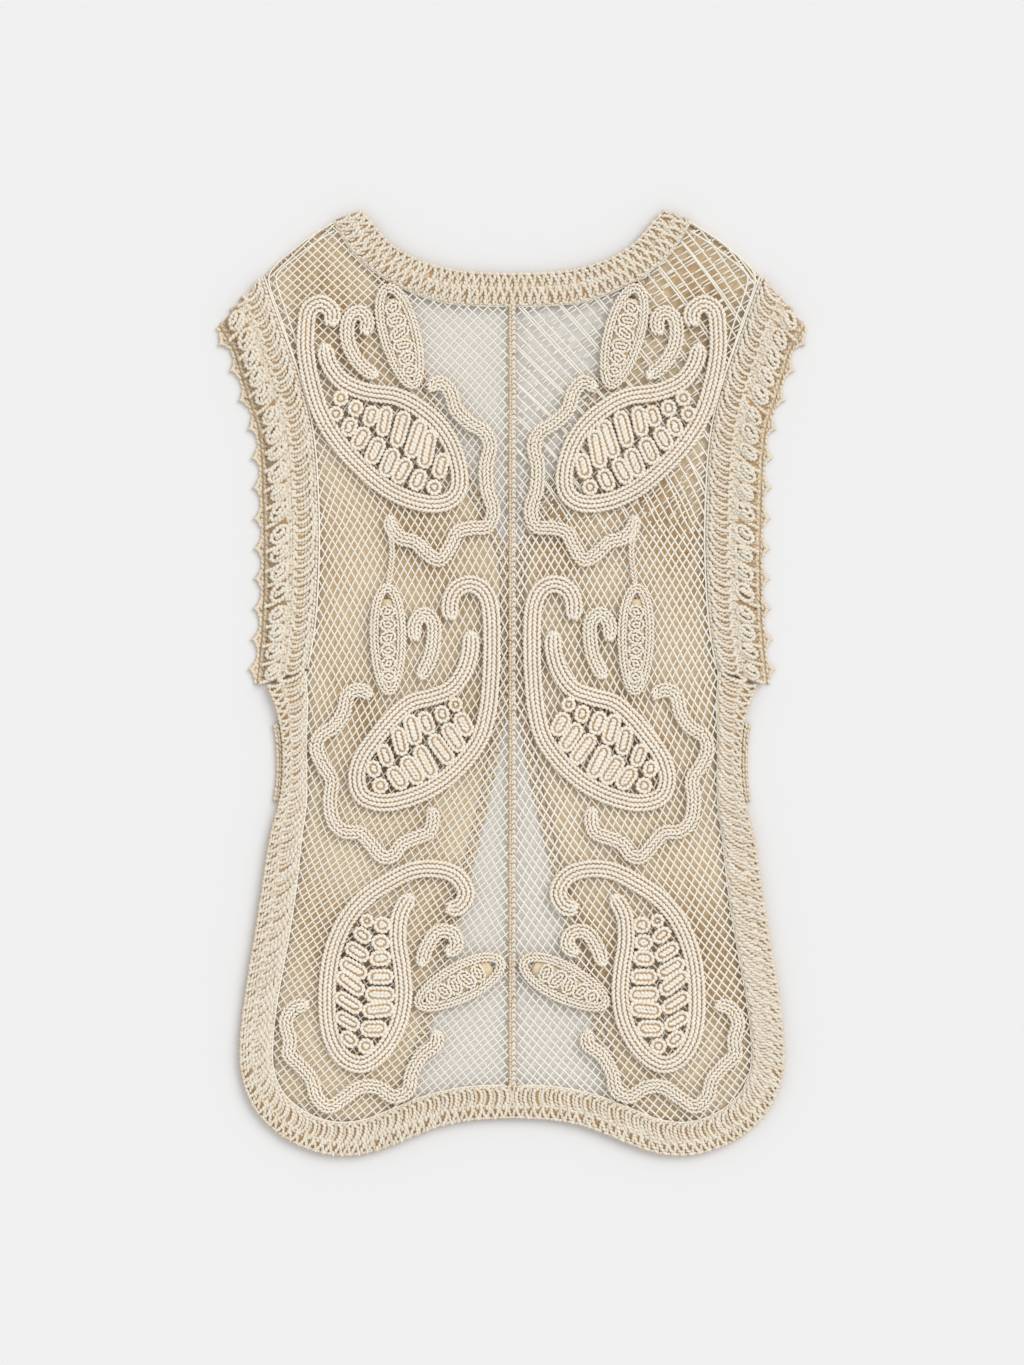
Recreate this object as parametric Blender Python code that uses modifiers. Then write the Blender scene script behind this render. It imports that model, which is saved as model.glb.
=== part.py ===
"""Knit vest lying flat with its back upward, as closed solids in metres.

The frame has +Z up, +Y towards the neck and its origin under the middle of the vest.
The front panels lie on the surface, the back panel lies on them, and the tape motifs lie on the back panel.
"""

import math

import bmesh
import bpy
import numpy as np

# Sizes in millimetres.
MM = 0.001
SEAM = 0.3
CURVE_SEAM = 1.0
FRONT_WALL = 1.6
BACK_WALL = 1.3
UNDER_BAND = 3.6
UPPER_BAND = 4.2
BACK_REST = UNDER_BAND + SEAM
SWELL = 0.7
CENTRE_Y = 0.77
CENTRE_HALF = 2.5
CENTRE_HIGH = 2.8
EDGE_BAND = 8.5
SEAM_WIDE = 3.2
SEAM_HIGH = 6.4
SIDE_WIDE = 5.7
PICOT_BASE = 4.5
PICOT_OUT = 7.5
PICOT_PITCH = 26.0
POD_TAPE = 14.4
CORD = 6.6
LEG_NEAR = 7.2
LEG_FAR = 8.4
ROOM = 0.9
SCROLL_TAPE = 12.0
BUD_TAPE = 9.0
SCALLOP_TAPE = 12.0
TAPE_HIGH = 3.2
CORD_HIGH = 3.6

# Outer edge of the side and hem border, from the underarm to the middle of the hem: x, y, border width.
BORDER = [
    (209, -2, 35), (201, -22, 27), (196, -45, 20), (195, -74, 19), (198, -100, 22), (206, -128, 26),
    (213, -172, 28), (219, -211, 28), (228, -267, 27), (232, -308, 27), (230, -335, 27), (220, -360, 27),
    (204, -378, 27), (184, -391, 27), (161, -399, 27), (138, -401, 27.5), (115, -397, 27.5), (92, -388, 27.5),
    (64, -377, 27.5), (36, -371, 27.5), (0, -369, 27.5),
]
# Row of BORDER where the back panel has its lower corner.
CORNER_ROW = 12
# Armhole band, from the shoulder down: outer x, outer y, inner x, inner y.
ARMHOLE = [
    (246, 306, 212, 346.5), (233, 285, 200, 312), (226, 262, 189, 282), (219, 240, 179.5, 254),
    (212, 217, 172, 225), (209, 190, 168, 196), (208, 160, 166, 163), (207, 125, 165, 126),
    (207, 90, 166, 90), (208, 58, 168, 58), (210, 30, 171, 36), (213, -1, 175.2, 13.5),
]
# Neck band, from the middle to the shoulder: upper x, upper y, lower x, lower y.
NECK = [
    (0, 350, 0, 322.5), (30, 350.8, 30, 323.5), (52, 353.5, 60, 326.5), (80, 361.7, 88, 336),
    (103, 375, 112, 349), (117, 391, 134, 368), (128, 402.5, 151, 394.5),
]
# Shoulder edge between the neck band and the armhole band: x, y.
SHOULDER = [(151, 394.5), (173.4, 380.4), (188.7, 368.5), (200.6, 358.3), (212, 346.5)]
# Front opening: y, distance of the front's edge from the middle.
OPENING = [
    (399, 126), (352, 108), (300, 88), (250, 66), (200, 44), (152, 22), (118, 6), (95, 1.6), (45, 1.6),
    (2, 1.6), (-25, 5), (-80, 15), (-140, 29), (-200, 44), (-260, 60), (-320, 77), (-384, 94),
]

# Centre lines of each tier's motif on the right half, drawn by eye: a pod's tape from its curl round the pod and back
# up inside the curl, a scroll, a bud (foot, tip, half width), a scalloped tape, and the pod's middle line from its
# tail to its tip with how far the filling's upper and lower legs lean along it.
TIERS = {
    "top": {
        "pod": [
            (154, 304.5), (153, 316.5), (162.5, 323.5), (172.5, 317.5), (175, 301.5), (175, 282.5), (171, 259),
            (162.5, 231.5), (149, 208), (129, 185.5), (105.5, 166), (80, 155), (57, 154.5), (45, 167), (47, 191.5),
            (58.5, 215.5), (78, 234), (98.5, 244.5), (124, 248.5), (143.5, 257), (155.5, 272.5), (159, 288.5),
        ],
        "scroll": [
            (125, 297), (123, 309), (129, 316), (137.5, 311.5), (140, 299), (137, 284.5), (127.5, 270.5),
            (115, 261.5),
        ],
        "bud": (84.0, 255.5, 105.5, 335.5, 12.8),
        "scallop": [
            (71.5, 251), (61, 256.5), (52.5, 248.5), (47, 232.5), (35.5, 221.5), (24, 214.5), (18.5, 202.5),
            (22, 185.5), (21, 165.5), (16, 148.5), (20.5, 134.5), (34, 133), (46, 129.5), (52.5, 117.5), (61, 106),
            (72, 111), (82.5, 121), (95, 124.5), (103, 134.5), (103.5, 143),
        ],
        "middle": (49.5, 163.5, 161.5, 247.0),
        "lean": (-0.28, 0.10),
    },
    "middle": {
        "pod": [
            (52, 55), (52.5, 70), (47, 81), (35.5, 85.5), (24, 79.5), (18, 63.5), (17, 33.5), (18, 4), (20.5, -21.5),
            (27, -45.5), (41.5, -66), (61, -83.5), (85, -95.5), (108, -100.5), (126, -95.5), (132, -81),
            (127.5, -62.5), (115, -44.5), (100.5, -27.5), (86, -15.5), (68, -10.5), (52, -4), (41, 10), (35.5, 27.5),
            (35, 44.5),
        ],
        "scroll": [(82.5, 37), (82.5, 51.5), (75, 60), (67, 53), (66.5, 38), (69.5, 22.5), (78, 5.5)],
        "bud": (104.5, -4.5, 106.0, 81.0, 11.0),
        "scallop": [
            (119, -10.5), (129, -4.5), (139.5, -9), (143, -23.5), (151.5, -36), (163, -44), (166, -55.5),
            (160.5, -68.5), (153, -81), (154.5, -98), (152, -115), (143, -124.5), (129, -126), (120, -135.5),
            (110.5, -146), (101, -145), (93.5, -135.5), (82.5, -130.5), (70.5, -125.5), (67, -113.5), (69.5, -105),
        ],
        "middle": (127.5, -89.5, 22.0, -4.5),
        "lean": (-0.12, 0.25),
    },
    "bottom": {
        "pod": [
            (56, -190), (45, -188.5), (39, -177), (46, -163.5), (61, -157), (82.5, -157.5), (103.5, -167),
            (125, -181.5), (142, -202), (153, -230), (157, -264), (154.5, -295.5), (143.5, -316.5), (126.5, -322.5),
            (109, -310), (97, -289.5), (92, -265.5), (93.5, -241), (97, -217), (95, -195), (86, -179),
        ],
        "scroll": [(56, -229), (47, -221.5), (51, -211), (63, -210.5), (72, -222.5), (77.5, -238.5)],
        "bud": (78.0, -270.5, 11.0, -236.0, 12.8),
        "scallop": [
            (172.5, -271.5), (185.5, -275), (192, -287), (188.5, -302), (189.5, -314), (180, -323.5), (170, -335.5),
            (166, -350), (155.5, -358.5), (143, -351.5), (129, -342), (114, -342), (100.5, -350), (88.5, -344.5),
            (85, -329.5), (76.5, -315), (64.5, -305.5), (64.5, -293.5),
        ],
        "middle": (132.0, -314.0, 115.0, -185.0),
        "lean": (0.05, 0.14),
    },
}

# Cross-sections of the bands: share across, share of height.
TWO_ROUNDS = [(0.0, 0.70), (0.25, 1.0), (0.5, 0.74), (0.75, 1.0), (1.0, 0.70)]
ONE_ROUND = [(0.0, 0.72), (0.5, 1.0), (1.0, 0.72)]
FLAT_ROUND = [(0.0, 1.0), (1.0, 1.0)]

YARN = (0.86, 0.80, 0.69, 1.0)


def clear_scene():
    """Removes every object and mesh that the start-up scene holds."""
    for thing in list(bpy.data.objects):
        bpy.data.objects.remove(thing, do_unlink=True)
    for mesh in list(bpy.data.meshes):
        bpy.data.meshes.remove(mesh)


def smooth(points, per=8):
    """Returns a Catmull-Rom curve through the points, with `per` steps between each two."""
    p = np.array(points, float)
    out = []
    for i in range(len(p) - 1):
        before = p[i - 1] if i > 0 else 2 * p[i] - p[i + 1]
        after = p[i + 2] if i + 2 < len(p) else 2 * p[i + 1] - p[i]
        for k in range(per):
            t = k / per
            a = 2 * p[i]
            b = (p[i + 1] - before) * t
            c = (2 * before - 5 * p[i] + 4 * p[i + 1] - after) * t * t
            d = (3 * p[i] - before - 3 * p[i + 1] + after) * t ** 3
            out.append(0.5 * (a + b + c + d))
    out.append(p[-1])
    return np.array(out)


def lengths(line):
    """Returns the distance along the line at each of its points."""
    steps = np.linalg.norm(np.diff(line, axis=0), axis=1)
    return np.concatenate([[0.0], np.cumsum(steps)])


def spread(line, count, start=0.0, end=1.0):
    """Returns `count` points at even distances along a line, between two shares of its length."""
    line = np.asarray(line, float)
    at = lengths(line)
    want = np.linspace(start, end, count) * at[-1]
    return np.stack([np.interp(want, at, line[:, k]) for k in range(line.shape[1])], axis=1)


def by_step(line, step):
    """Returns the line with points about `step` apart."""
    return spread(line, max(3, int(round(lengths(np.asarray(line, float))[-1] / step)) + 1))


def normals(line, closed=False):
    """Returns the unit vector to the left of the way along the line, at each point."""
    if closed:
        way = np.roll(line, -1, axis=0) - np.roll(line, 1, axis=0)
    else:
        way = np.gradient(line, axis=0)
    way = way / np.linalg.norm(way, axis=1)[:, None]
    return np.stack([-way[:, 1], way[:, 0]], axis=1)


def lie(x, y):
    """Returns the height at which the upper layer lies, with soft uneven swells."""
    first = math.sin(x / 61.0 + y / 97.0 + 0.6)
    second = math.sin(x / 83.0 - y / 71.0 + 2.1)
    return BACK_REST + SWELL * (0.5 + 0.25 * first + 0.25 * second)


def floor_height(x, y):
    """Returns the height of the surface that the vest lies on."""
    return 0.0


def panel_height(x, y):
    """Returns the height just above the back panel, where the motifs lie."""
    return lie(x, y) + BACK_WALL + SEAM


def add_object(name, points, faces):
    """Makes one closed solid from points in millimetres, with its own material."""
    mesh = bpy.data.meshes.new(name)
    moved = [(float(x) * MM, float(y - CENTRE_Y) * MM, float(z) * MM) for x, y, z in points]
    mesh.from_pydata(moved, [], faces)
    mesh.validate()
    mesh.update()
    thing = bpy.data.objects.new(name, mesh)
    bpy.data.collections["knit_vest"].objects.link(thing)
    material = bpy.data.materials.new(name)
    material.use_nodes = True
    shader = material.node_tree.nodes["Principled BSDF"]
    shader.inputs["Base Color"].default_value = YARN
    shader.inputs["Roughness"].default_value = 0.9
    mesh.materials.append(material)
    return thing


def loft(name, rings, closed=False):
    """Joins rings of points, each going the same way round, into one solid with flat ends."""
    count = len(rings[0])
    points = [p for ring in rings for p in ring]
    faces = []
    last = len(rings) if closed else len(rings) - 1
    for i in range(last):
        j = (i + 1) % len(rings)
        for k in range(count):
            m = (k + 1) % count
            faces.append((i * count + k, i * count + m, j * count + m, j * count + k))
    if not closed:
        faces.append(tuple(reversed(range(count))))
        start = (len(rings) - 1) * count
        faces.append(tuple(start + k for k in range(count)))
    return add_object(name, points, faces)


def ribbon(name, left, right, height, rise, profile):
    """Makes a band between two edges that go the same way.

    `left` is on the left of the way along. The underside follows `height`, and the top follows the profile.
    """
    rings = []
    for a, b in zip(left, right):
        ring = [(a[0], a[1], height(a[0], a[1])), (b[0], b[1], height(b[0], b[1]))]
        for across, share in reversed(profile):
            x, y = a + (b - a) * across
            ring.append((x, y, height(x, y) + rise * share))
        rings.append(ring[::-1])
    return loft(name, rings)


def tape(name, line, wide, height, rise, closed=False, ends=0.72):
    """Makes a tape with sloped sides along a centre line; an open one narrows at its ends."""
    side = normals(line, closed)
    rings = []
    for i, (p, n) in enumerate(zip(line, side)):
        half = wide[i] / 2
        if not closed and i in (0, len(line) - 1):
            half *= ends
        low_left, low_right = p + n * half, p - n * half
        top_left, top_right = p + n * half * 0.72, p - n * half * 0.72
        rings.append([
            (top_left[0], top_left[1], height(*top_left) + rise),
            (top_right[0], top_right[1], height(*top_right) + rise),
            (low_right[0], low_right[1], height(*low_right)),
            (low_left[0], low_left[1], height(*low_left)),
        ])
    return loft(name, rings, closed)


def panel(name, grid, height, wall):
    """Makes a wall of cloth from a grid of points: an open surface, then Solidify upwards."""
    rows, columns = len(grid), len(grid[0])
    points = [(x, y, height(x, y)) for row in grid for x, y in row]
    faces = []
    for i in range(rows - 1):
        for k in range(columns - 1):
            a = i * columns + k
            faces.append((a, a + 1, a + columns + 1, a + columns))
    first = grid[0][0]
    turn = (grid[0][1][0] - first[0]) * (grid[1][0][1] - first[1])
    if turn < 0:
        faces = [f[::-1] for f in faces]
    thing = add_object(name, points, faces)
    solid = thing.modifiers.new("Wall", "SOLIDIFY")
    solid.thickness = wall * MM
    solid.offset = 1.0
    return thing


def patch(left, right, bottom, top):
    """Fills four edges with a grid of points. left and right go upwards, bottom and top go left to right."""
    rows, columns = len(left), len(bottom)
    grid = []
    for i in range(rows):
        v = i / (rows - 1)
        row = []
        for k in range(columns):
            u = k / (columns - 1)
            across = (1 - u) * left[i] + u * right[i]
            up = (1 - v) * bottom[k] + v * top[k]
            corners = (1 - u) * (1 - v) * bottom[0] + u * (1 - v) * bottom[-1]
            corners = corners + (1 - u) * v * top[0] + u * v * top[-1]
            row.append(across + up - corners)
        grid.append(row)
    return grid


def flip(line, side):
    """Returns the points on the right half as they are, and mirrors them for the left half."""
    return np.array(line, float) * np.array([side, 1.0])


def border_edges():
    """Returns the outer and inner edge of the border, both from the underarm to the middle of the hem."""
    outer = smooth([(x, y) for x, y, _ in BORDER])
    width = smooth([(w, 0.0) for _, _, w in BORDER])[:, 0]
    side = -normals(outer)
    side[-1] = (0.0, 1.0)
    inner = outer + side * width[:, None]
    inner[-1, 0] = 0.0
    return outer, inner


def opening_edge():
    """Returns the front's edge from the shoulder to the hem, on the right half."""
    return smooth([(x, y) for y, x in OPENING])


def side_edge(band_inner, border_inner, first):
    """Returns the panel's side edge from its lower corner up to the shoulder."""
    lower = border_inner[:first + 1][::-1]
    upper = band_inner[::-1]
    return np.vstack([lower, upper])


def panel_edges(gap):
    """Returns the right half's border and armhole edges, moved inwards by the seam gap."""
    _, inner = border_edges()
    arm = smooth([(x, y) for _, _, x, y in ARMHOLE])
    corner = CORNER_ROW * 8
    edge = side_edge(arm, inner, corner)
    hem = inner[corner:][::-1]
    edge = edge + normals(edge) * gap
    hem = hem + normals(hem) * gap
    hem[:, 0] = np.maximum(hem[:, 0], 0.0)
    edge[0] = hem[-1]
    return edge, hem


def shoulder_line(gap):
    """Returns the shoulder edge from the neck to the armhole, moved inwards."""
    line = smooth(SHOULDER, 4)
    return line - normals(line) * gap


def build_back(side, tag):
    """Makes one half of the back panel."""
    edge, hem = panel_edges(CURVE_SEAM)
    neck = smooth([(x, y) for _, _, x, y in NECK])
    neck = neck - normals(neck) * CURVE_SEAM
    inset = shoulder_line(SEAM_WIDE + CURVE_SEAM)
    start = CENTRE_HALF + SEAM
    neck_top = float(np.interp(start, neck[:, 0], neck[:, 1]))
    hem_low = float(np.interp(start, hem[:, 0], hem[:, 1]))
    neck = np.vstack([[start, neck_top], neck[neck[:, 0] > start]])
    neck = neck[:-2]
    hem = np.vstack([[start, hem_low], hem[hem[:, 0] > start + 1.0]])
    top = np.vstack([spread(neck, 7), spread(inset, 5, 0.02, 1.0)[1:]])
    top[6] = (top[5] + top[7]) / 2 + np.array([0.0, 6.0])
    bottom = spread(hem, len(top))
    edge = edge[:-3]
    edge = np.vstack([edge, [top[-1]]])
    right = spread(edge, 24)
    left = spread(np.array([[start, hem_low], [start, neck_top]]), 24)
    right[0], right[-1] = bottom[-1], top[-1]
    grid = patch(left, right, bottom, top)
    panel(f"back_{tag}", [flip(row, side) for row in grid], lie, BACK_WALL)


def build_front(side, tag):
    """Makes one front panel, which lies on the surface beside the front opening."""
    edge, hem = panel_edges(CURVE_SEAM + 1.5)
    opening = opening_edge()
    inner_edge = opening + normals(opening) * (EDGE_BAND + CURVE_SEAM)
    inset = shoulder_line(SEAM_WIDE + CURVE_SEAM)
    neck_corner = np.array([138.5, 396.0])
    top = spread(np.vstack([[neck_corner], inset[2:]]), 6)
    start = hem[:, 0] > 98.0 + EDGE_BAND
    bottom = spread(hem[start], 6)
    edge = np.vstack([edge[:-3], [top[-1]]])
    right = spread(edge, 20)
    low, high = bottom[0][1], top[0][1]
    keep = inner_edge[(inner_edge[:, 1] > low + 4) & (inner_edge[:, 1] < high - 6)]
    left = spread(np.vstack([[top[0]], keep, [bottom[0]]])[::-1], 20)
    right[0], right[-1] = bottom[-1], top[-1]
    left[0], left[-1] = bottom[0], top[0]
    grid = patch(left, right, bottom, top)
    panel(f"front_{tag}", [flip(row, side) for row in grid], floor_height, FRONT_WALL)


def band(name, outer, inner, side, height, rise, profile):
    """Makes a band from its two edges on the right half, mirrored for the left half."""
    a, b = flip(outer, side), flip(inner, side)
    if side > 0:
        ribbon(name, a, b, height, rise, profile)
    else:
        ribbon(name, b, a, height, rise, [(1.0 - across, share) for across, share in reversed(profile)])


def build_borders(side, tag):
    """Makes the back's and the front's side, vent and hem border of one half."""
    outer, inner = border_edges()
    outer[:, 0] = np.maximum(outer[:, 0], SEAM / 2)
    inner[:, 0] = np.maximum(inner[:, 0], SEAM / 2)
    band(f"border_back_{tag}", spread(outer, 37), spread(inner, 37), side, lie, UPPER_BAND, TWO_ROUNDS)
    limit = 102.0 + EDGE_BAND
    cut = int(np.argmax((inner[:, 0] < limit) & (inner[:, 1] < -330)))
    band(
        f"border_front_{tag}", spread(outer[:cut], 30), spread(inner[:cut], 30), side, floor_height, UNDER_BAND,
        ONE_ROUND,
    )


def build_armholes(side, tag):
    """Makes the back's armhole band and the front's, which has picots and shows beyond it."""
    outer = smooth([(x, y) for x, y, _, _ in ARMHOLE])
    inner = smooth([(x, y) for _, _, x, y in ARMHOLE])
    band(f"arm_band_back_{tag}", spread(outer, 19), spread(inner, 19), side, lie, UPPER_BAND, TWO_ROUNDS)
    total = lengths(outer)[-1]
    picots = int(total // PICOT_PITCH)
    count = picots * 4 + 1
    edge = spread(outer, count, 0.0, 1.0)
    away = normals(edge)
    reach = [PICOT_BASE + (PICOT_OUT if k % 4 == 2 else 0.0) for k in range(count)]
    edge = edge + away * np.array(reach)[:, None]
    band(
        f"arm_band_front_{tag}", edge, spread(inner, count), side, floor_height, UNDER_BAND, ONE_ROUND,
    )


def build_front_edge(side, tag):
    """Makes the band along one front's opening."""
    opening = opening_edge()
    away = opening + normals(opening) * EDGE_BAND
    band(
        f"front_edge_{tag}", spread(away, 26), spread(opening, 26), side, floor_height, UNDER_BAND - 1.0, ONE_ROUND,
    )


def build_seams(side, tag):
    """Makes the shoulder seam and the side seam of one half."""
    line = smooth(SHOULDER, 4)
    line = spread(line, 8, 0.02, 0.98)
    inner = line - normals(line) * SEAM_WIDE
    band(f"shoulder_seam_{tag}", line, inner, side, floor_height, SEAM_HIGH, ONE_ROUND)
    outer, _ = border_edges()
    part = outer[12:33]
    near = spread(part + normals(part) * SEAM, 9)
    far = spread(part + normals(part) * SIDE_WIDE, 9)
    far[0] = near[0] + (far[0] - near[0]) * 0.4
    far[-1] = near[-1] + (far[-1] - near[-1]) * 0.4
    band(f"side_seam_{tag}", far, near, side, floor_height, SEAM_HIGH, ONE_ROUND)


def build_middle():
    """Makes the neck band and the chain seam down the middle of the back."""
    upper = smooth([(x, y) for x, y, _, _ in NECK])
    lower = smooth([(x, y) for _, _, x, y in NECK])
    upper, lower = spread(upper, 16), spread(lower, 16)
    upper = np.vstack([flip(upper, -1)[::-1], upper[1:]])
    lower = np.vstack([flip(lower, -1)[::-1], lower[1:]])
    ribbon("neck_band", upper, lower, lie, UPPER_BAND, TWO_ROUNDS)
    _, inner = border_edges()
    low, high = inner[-1][1] + SEAM, NECK[0][3] - SEAM
    ys = np.linspace(high, low, 22)
    right = np.stack([np.full(22, CENTRE_HALF), ys], axis=1)
    left = np.stack([np.full(22, -CENTRE_HALF), ys], axis=1)
    ribbon("centre_seam", right, left, lie, CENTRE_HIGH, ONE_ROUND)


def thin(line, slack=0.35):
    """Leaves out the points that stand less than `slack` off the straight between those kept."""
    keep = {0, len(line) - 1}
    parts = [(0, len(line) - 1)]
    while parts:
        first, last = parts.pop()
        if last - first < 2:
            continue
        way = line[last] - line[first]
        way = way / max(np.linalg.norm(way), 1e-9)
        rest = line[first + 1:last] - line[first]
        off = np.abs(rest[:, 0] * way[1] - rest[:, 1] * way[0])
        worst = int(off.argmax())
        if off[worst] > slack:
            middle = first + 1 + worst
            keep.add(middle)
            parts += [(first, middle), (middle, last)]
    return line[sorted(keep)]


def filling_line(tier):
    """Returns the centre line of the cord that winds inside a pod.

    It goes over the full width at the tip, then down the upper side of the pod's middle line to the tail, and back up
    the lower side. Two legs make a finger, and a wider gap parts the fingers.
    """
    pod = by_step(smooth(tier["pod"]), 2.0)
    tail, tip = np.array(tier["middle"][:2]), np.array(tier["middle"][2:])
    reach = np.linalg.norm(tip - tail)
    way = (tip - tail) / reach
    side = np.array([-way[1], way[0]])
    local = np.stack([(pod - tail) @ way, (pod - tail) @ side], axis=1)
    clear = (POD_TAPE / 2 + ROOM + CORD / 2) * 1.03
    floor = CORD / 2 + 0.6
    bend = LEG_NEAR * 0.45
    end = floor + LEG_FAR * 0.4
    half = LEG_FAR / 2
    lean = tier["lean"]

    def room(x, up):
        """Returns how far from the middle line a finger can reach on one side."""
        away = local[:, 1] * (1.0 if up else -1.0)
        along = local[:, 0] - (lean[0] if up else lean[1]) * away
        along, away = along[away > -1], away[away > -1]
        best = 1e3
        for at in (x, x + LEG_NEAR / 2, x + LEG_NEAR):
            near = np.abs(along - at) < clear
            if near.any():
                best = min(best, float((away[near] - np.sqrt(clear ** 2 - (along[near] - at) ** 2)).min()))
        return best

    x = -2 * clear
    while min(room(x, True), room(x, False)) < 6.6 or max(room(x, True), room(x, False)) > 60:
        x += 0.5
    fingers = []
    while x < reach + clear:
        up, down = room(x, True), room(x, False)
        if max(up, down) > 60 or min(up, down) < 1.5 or up + down < 13:
            break
        fingers.append((x, x + LEG_NEAR, up, -down))
        x += LEG_NEAR + LEG_FAR
    pairs = 1
    while pairs < len(fingers) and min(fingers[pairs][2], -fingers[pairs][3]) > floor + 2 * bend + 1:
        pairs += 1
    line = []
    wide = fingers[pairs:][::-1]
    for j, (near, far, up, down) in enumerate(wide):
        line += [(far, down + bend), (far, 0), (far, up - bend), (far - LEG_NEAR / 2, up), (near, up - bend)]
        if j == len(wide) - 1:
            line += [(near, end), (near - half, floor)]
        else:
            line += [(near, 0), (near, down + bend), (near - half, min(down, wide[j + 1][3]))]
    for j, (near, far, up, _) in enumerate(fingers[:pairs][::-1]):
        line += [(far, end), (far, up - bend), (far - LEG_NEAR / 2, up), (near, up - bend)]
        if j < pairs - 1:
            line += [(near, end), (near - half, floor)]
    for j, (near, far, _, down) in enumerate(fingers[:pairs]):
        line += [(near, -end if j else 0), (near, down + bend), (near + LEG_NEAR / 2, down), (far, down + bend)]
        line += [(far, -end)]
        if j < pairs - 1:
            line += [(far + half, -floor)]
    if wide and -wide[-1][3] - bend > end + 1:
        near, _, _, down = wide[-1]
        line += [(near - half, -floor), (near, -end), (near, down + bend)]
    line = np.array(line, float)
    along = line[:, 0] + np.where(line[:, 1] > 0, lean[0], lean[1]) * np.abs(line[:, 1])
    return tail + along[:, None] * way + line[:, 1:] * side


def bud_line(bud, inset=0.0, count=22):
    """Returns the closed centre line of a bud, or a smaller one inside it."""
    foot, tip, half = np.array(bud[:2]), np.array(bud[2:4]), bud[4]
    reach = np.linalg.norm(tip - foot) / 2
    way = (tip - foot) / (2 * reach)
    side = np.array([-way[1], way[0]])
    angle = np.arange(count) * 2 * math.pi / count
    x = reach - (reach - inset) * np.cos(angle)
    y = (half - inset) * np.sin(angle) * (0.97 - 0.11 * np.cos(angle))
    return foot + x[:, None] * way + y[:, None] * side


def leaf(name, rim, height, rise):
    """Makes a low leaf: a flat underside, a sloped rim and a ridge that is one smaller ring."""
    middle = rim.mean(axis=0)
    crest = middle + (rim - middle) * 0.55
    low = [(x, y, height(x, y)) for x, y in rim]
    shoulder = [(x, y, height(x, y) + rise * 0.45) for x, y in rim]
    top = [(x, y, height(x, y) + rise) for x, y in crest]
    turn = 0.0
    for a, b in zip(rim, np.roll(rim, -1, axis=0)):
        turn += a[0] * b[1] - a[1] * b[0]
    rings = [low, shoulder, top]
    if turn < 0:
        rings = [ring[::-1] for ring in rings]
    return loft(name, rings)


def build_motif(name, tier, side, tag):
    """Makes one motif's pod tape, filling cord, scroll, bud, bud filling and scalloped tape."""
    tag = f"{name}_{tag}"
    pod = flip(thin(by_step(smooth(tier["pod"]), 2.0)), side)
    tape(f"pod_{tag}", pod, [POD_TAPE] * len(pod), panel_height, TAPE_HIGH, ends=0.9)
    fill = flip(filling_line(tier), side)
    tape(f"filling_{tag}", fill, [CORD] * len(fill), panel_height, CORD_HIGH)
    curl = flip(thin(by_step(smooth(tier["scroll"]), 1.5)), side)
    tape(f"scroll_{tag}", curl, [SCROLL_TAPE] * len(curl), panel_height, TAPE_HIGH)
    ring = flip(bud_line(tier["bud"]), side)
    tape(f"bud_{tag}", ring, [BUD_TAPE] * len(ring), panel_height, TAPE_HIGH, closed=True)
    heart = flip(bud_line(tier["bud"], BUD_TAPE / 2 + ROOM + 1.8, 12), side)
    leaf(f"bud_filling_{tag}", heart, panel_height, CORD_HIGH)
    wave = flip(thin(by_step(smooth(tier["scallop"]), 1.5)), side)
    tape(f"scallop_{tag}", wave, [SCALLOP_TAPE] * len(wave), panel_height, TAPE_HIGH)


def recalculate():
    """Turns every face outwards."""
    for thing in bpy.data.collections["knit_vest"].objects:
        if thing.modifiers:
            continue
        work = bmesh.new()
        work.from_mesh(thing.data)
        bmesh.ops.recalc_face_normals(work, faces=work.faces)
        work.to_mesh(thing.data)
        work.free()


def main():
    """Builds the whole vest."""
    clear_scene()
    bpy.context.scene.collection.children.link(bpy.data.collections.new("knit_vest"))
    build_middle()
    for side, tag in ((1.0, "right"), (-1.0, "left")):
        build_back(side, tag)
        build_front(side, tag)
        build_borders(side, tag)
        build_armholes(side, tag)
        build_front_edge(side, tag)
        build_seams(side, tag)
        for name, tier in TIERS.items():
            build_motif(name, tier, side, tag)
    recalculate()


main()
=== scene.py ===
"""Dresses the knit vest: open net, knit-tape motifs, crochet bands and seams over the solids of the frame."""
import logging
import math
from collections.abc import Callable, Sequence
from dataclasses import dataclass, field
from enum import Enum

import bpy
import numpy as np
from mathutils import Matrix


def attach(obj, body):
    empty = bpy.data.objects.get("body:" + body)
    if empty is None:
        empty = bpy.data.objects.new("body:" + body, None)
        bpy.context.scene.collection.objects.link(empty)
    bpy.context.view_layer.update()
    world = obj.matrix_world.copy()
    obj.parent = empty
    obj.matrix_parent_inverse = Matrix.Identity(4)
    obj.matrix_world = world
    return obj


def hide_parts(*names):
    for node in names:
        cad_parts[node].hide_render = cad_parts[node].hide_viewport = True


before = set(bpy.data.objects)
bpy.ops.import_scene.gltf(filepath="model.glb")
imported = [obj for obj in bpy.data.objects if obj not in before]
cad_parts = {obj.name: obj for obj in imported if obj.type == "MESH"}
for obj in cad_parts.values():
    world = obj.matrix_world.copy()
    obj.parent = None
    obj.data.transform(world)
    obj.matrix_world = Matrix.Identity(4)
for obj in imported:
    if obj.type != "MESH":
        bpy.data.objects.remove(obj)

LOG = logging.getLogger("knit_vest")
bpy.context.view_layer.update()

Line = np.ndarray | Sequence
HeightAt = Callable[[np.ndarray, np.ndarray], np.ndarray]
MeshArrays = tuple[np.ndarray, np.ndarray, np.ndarray]

# Lengths are in millimetres up to the point where a mesh is made.
MM = 0.001
# The tables' y at the frame's origin.
CENTRE_Y = 0.77
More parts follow.
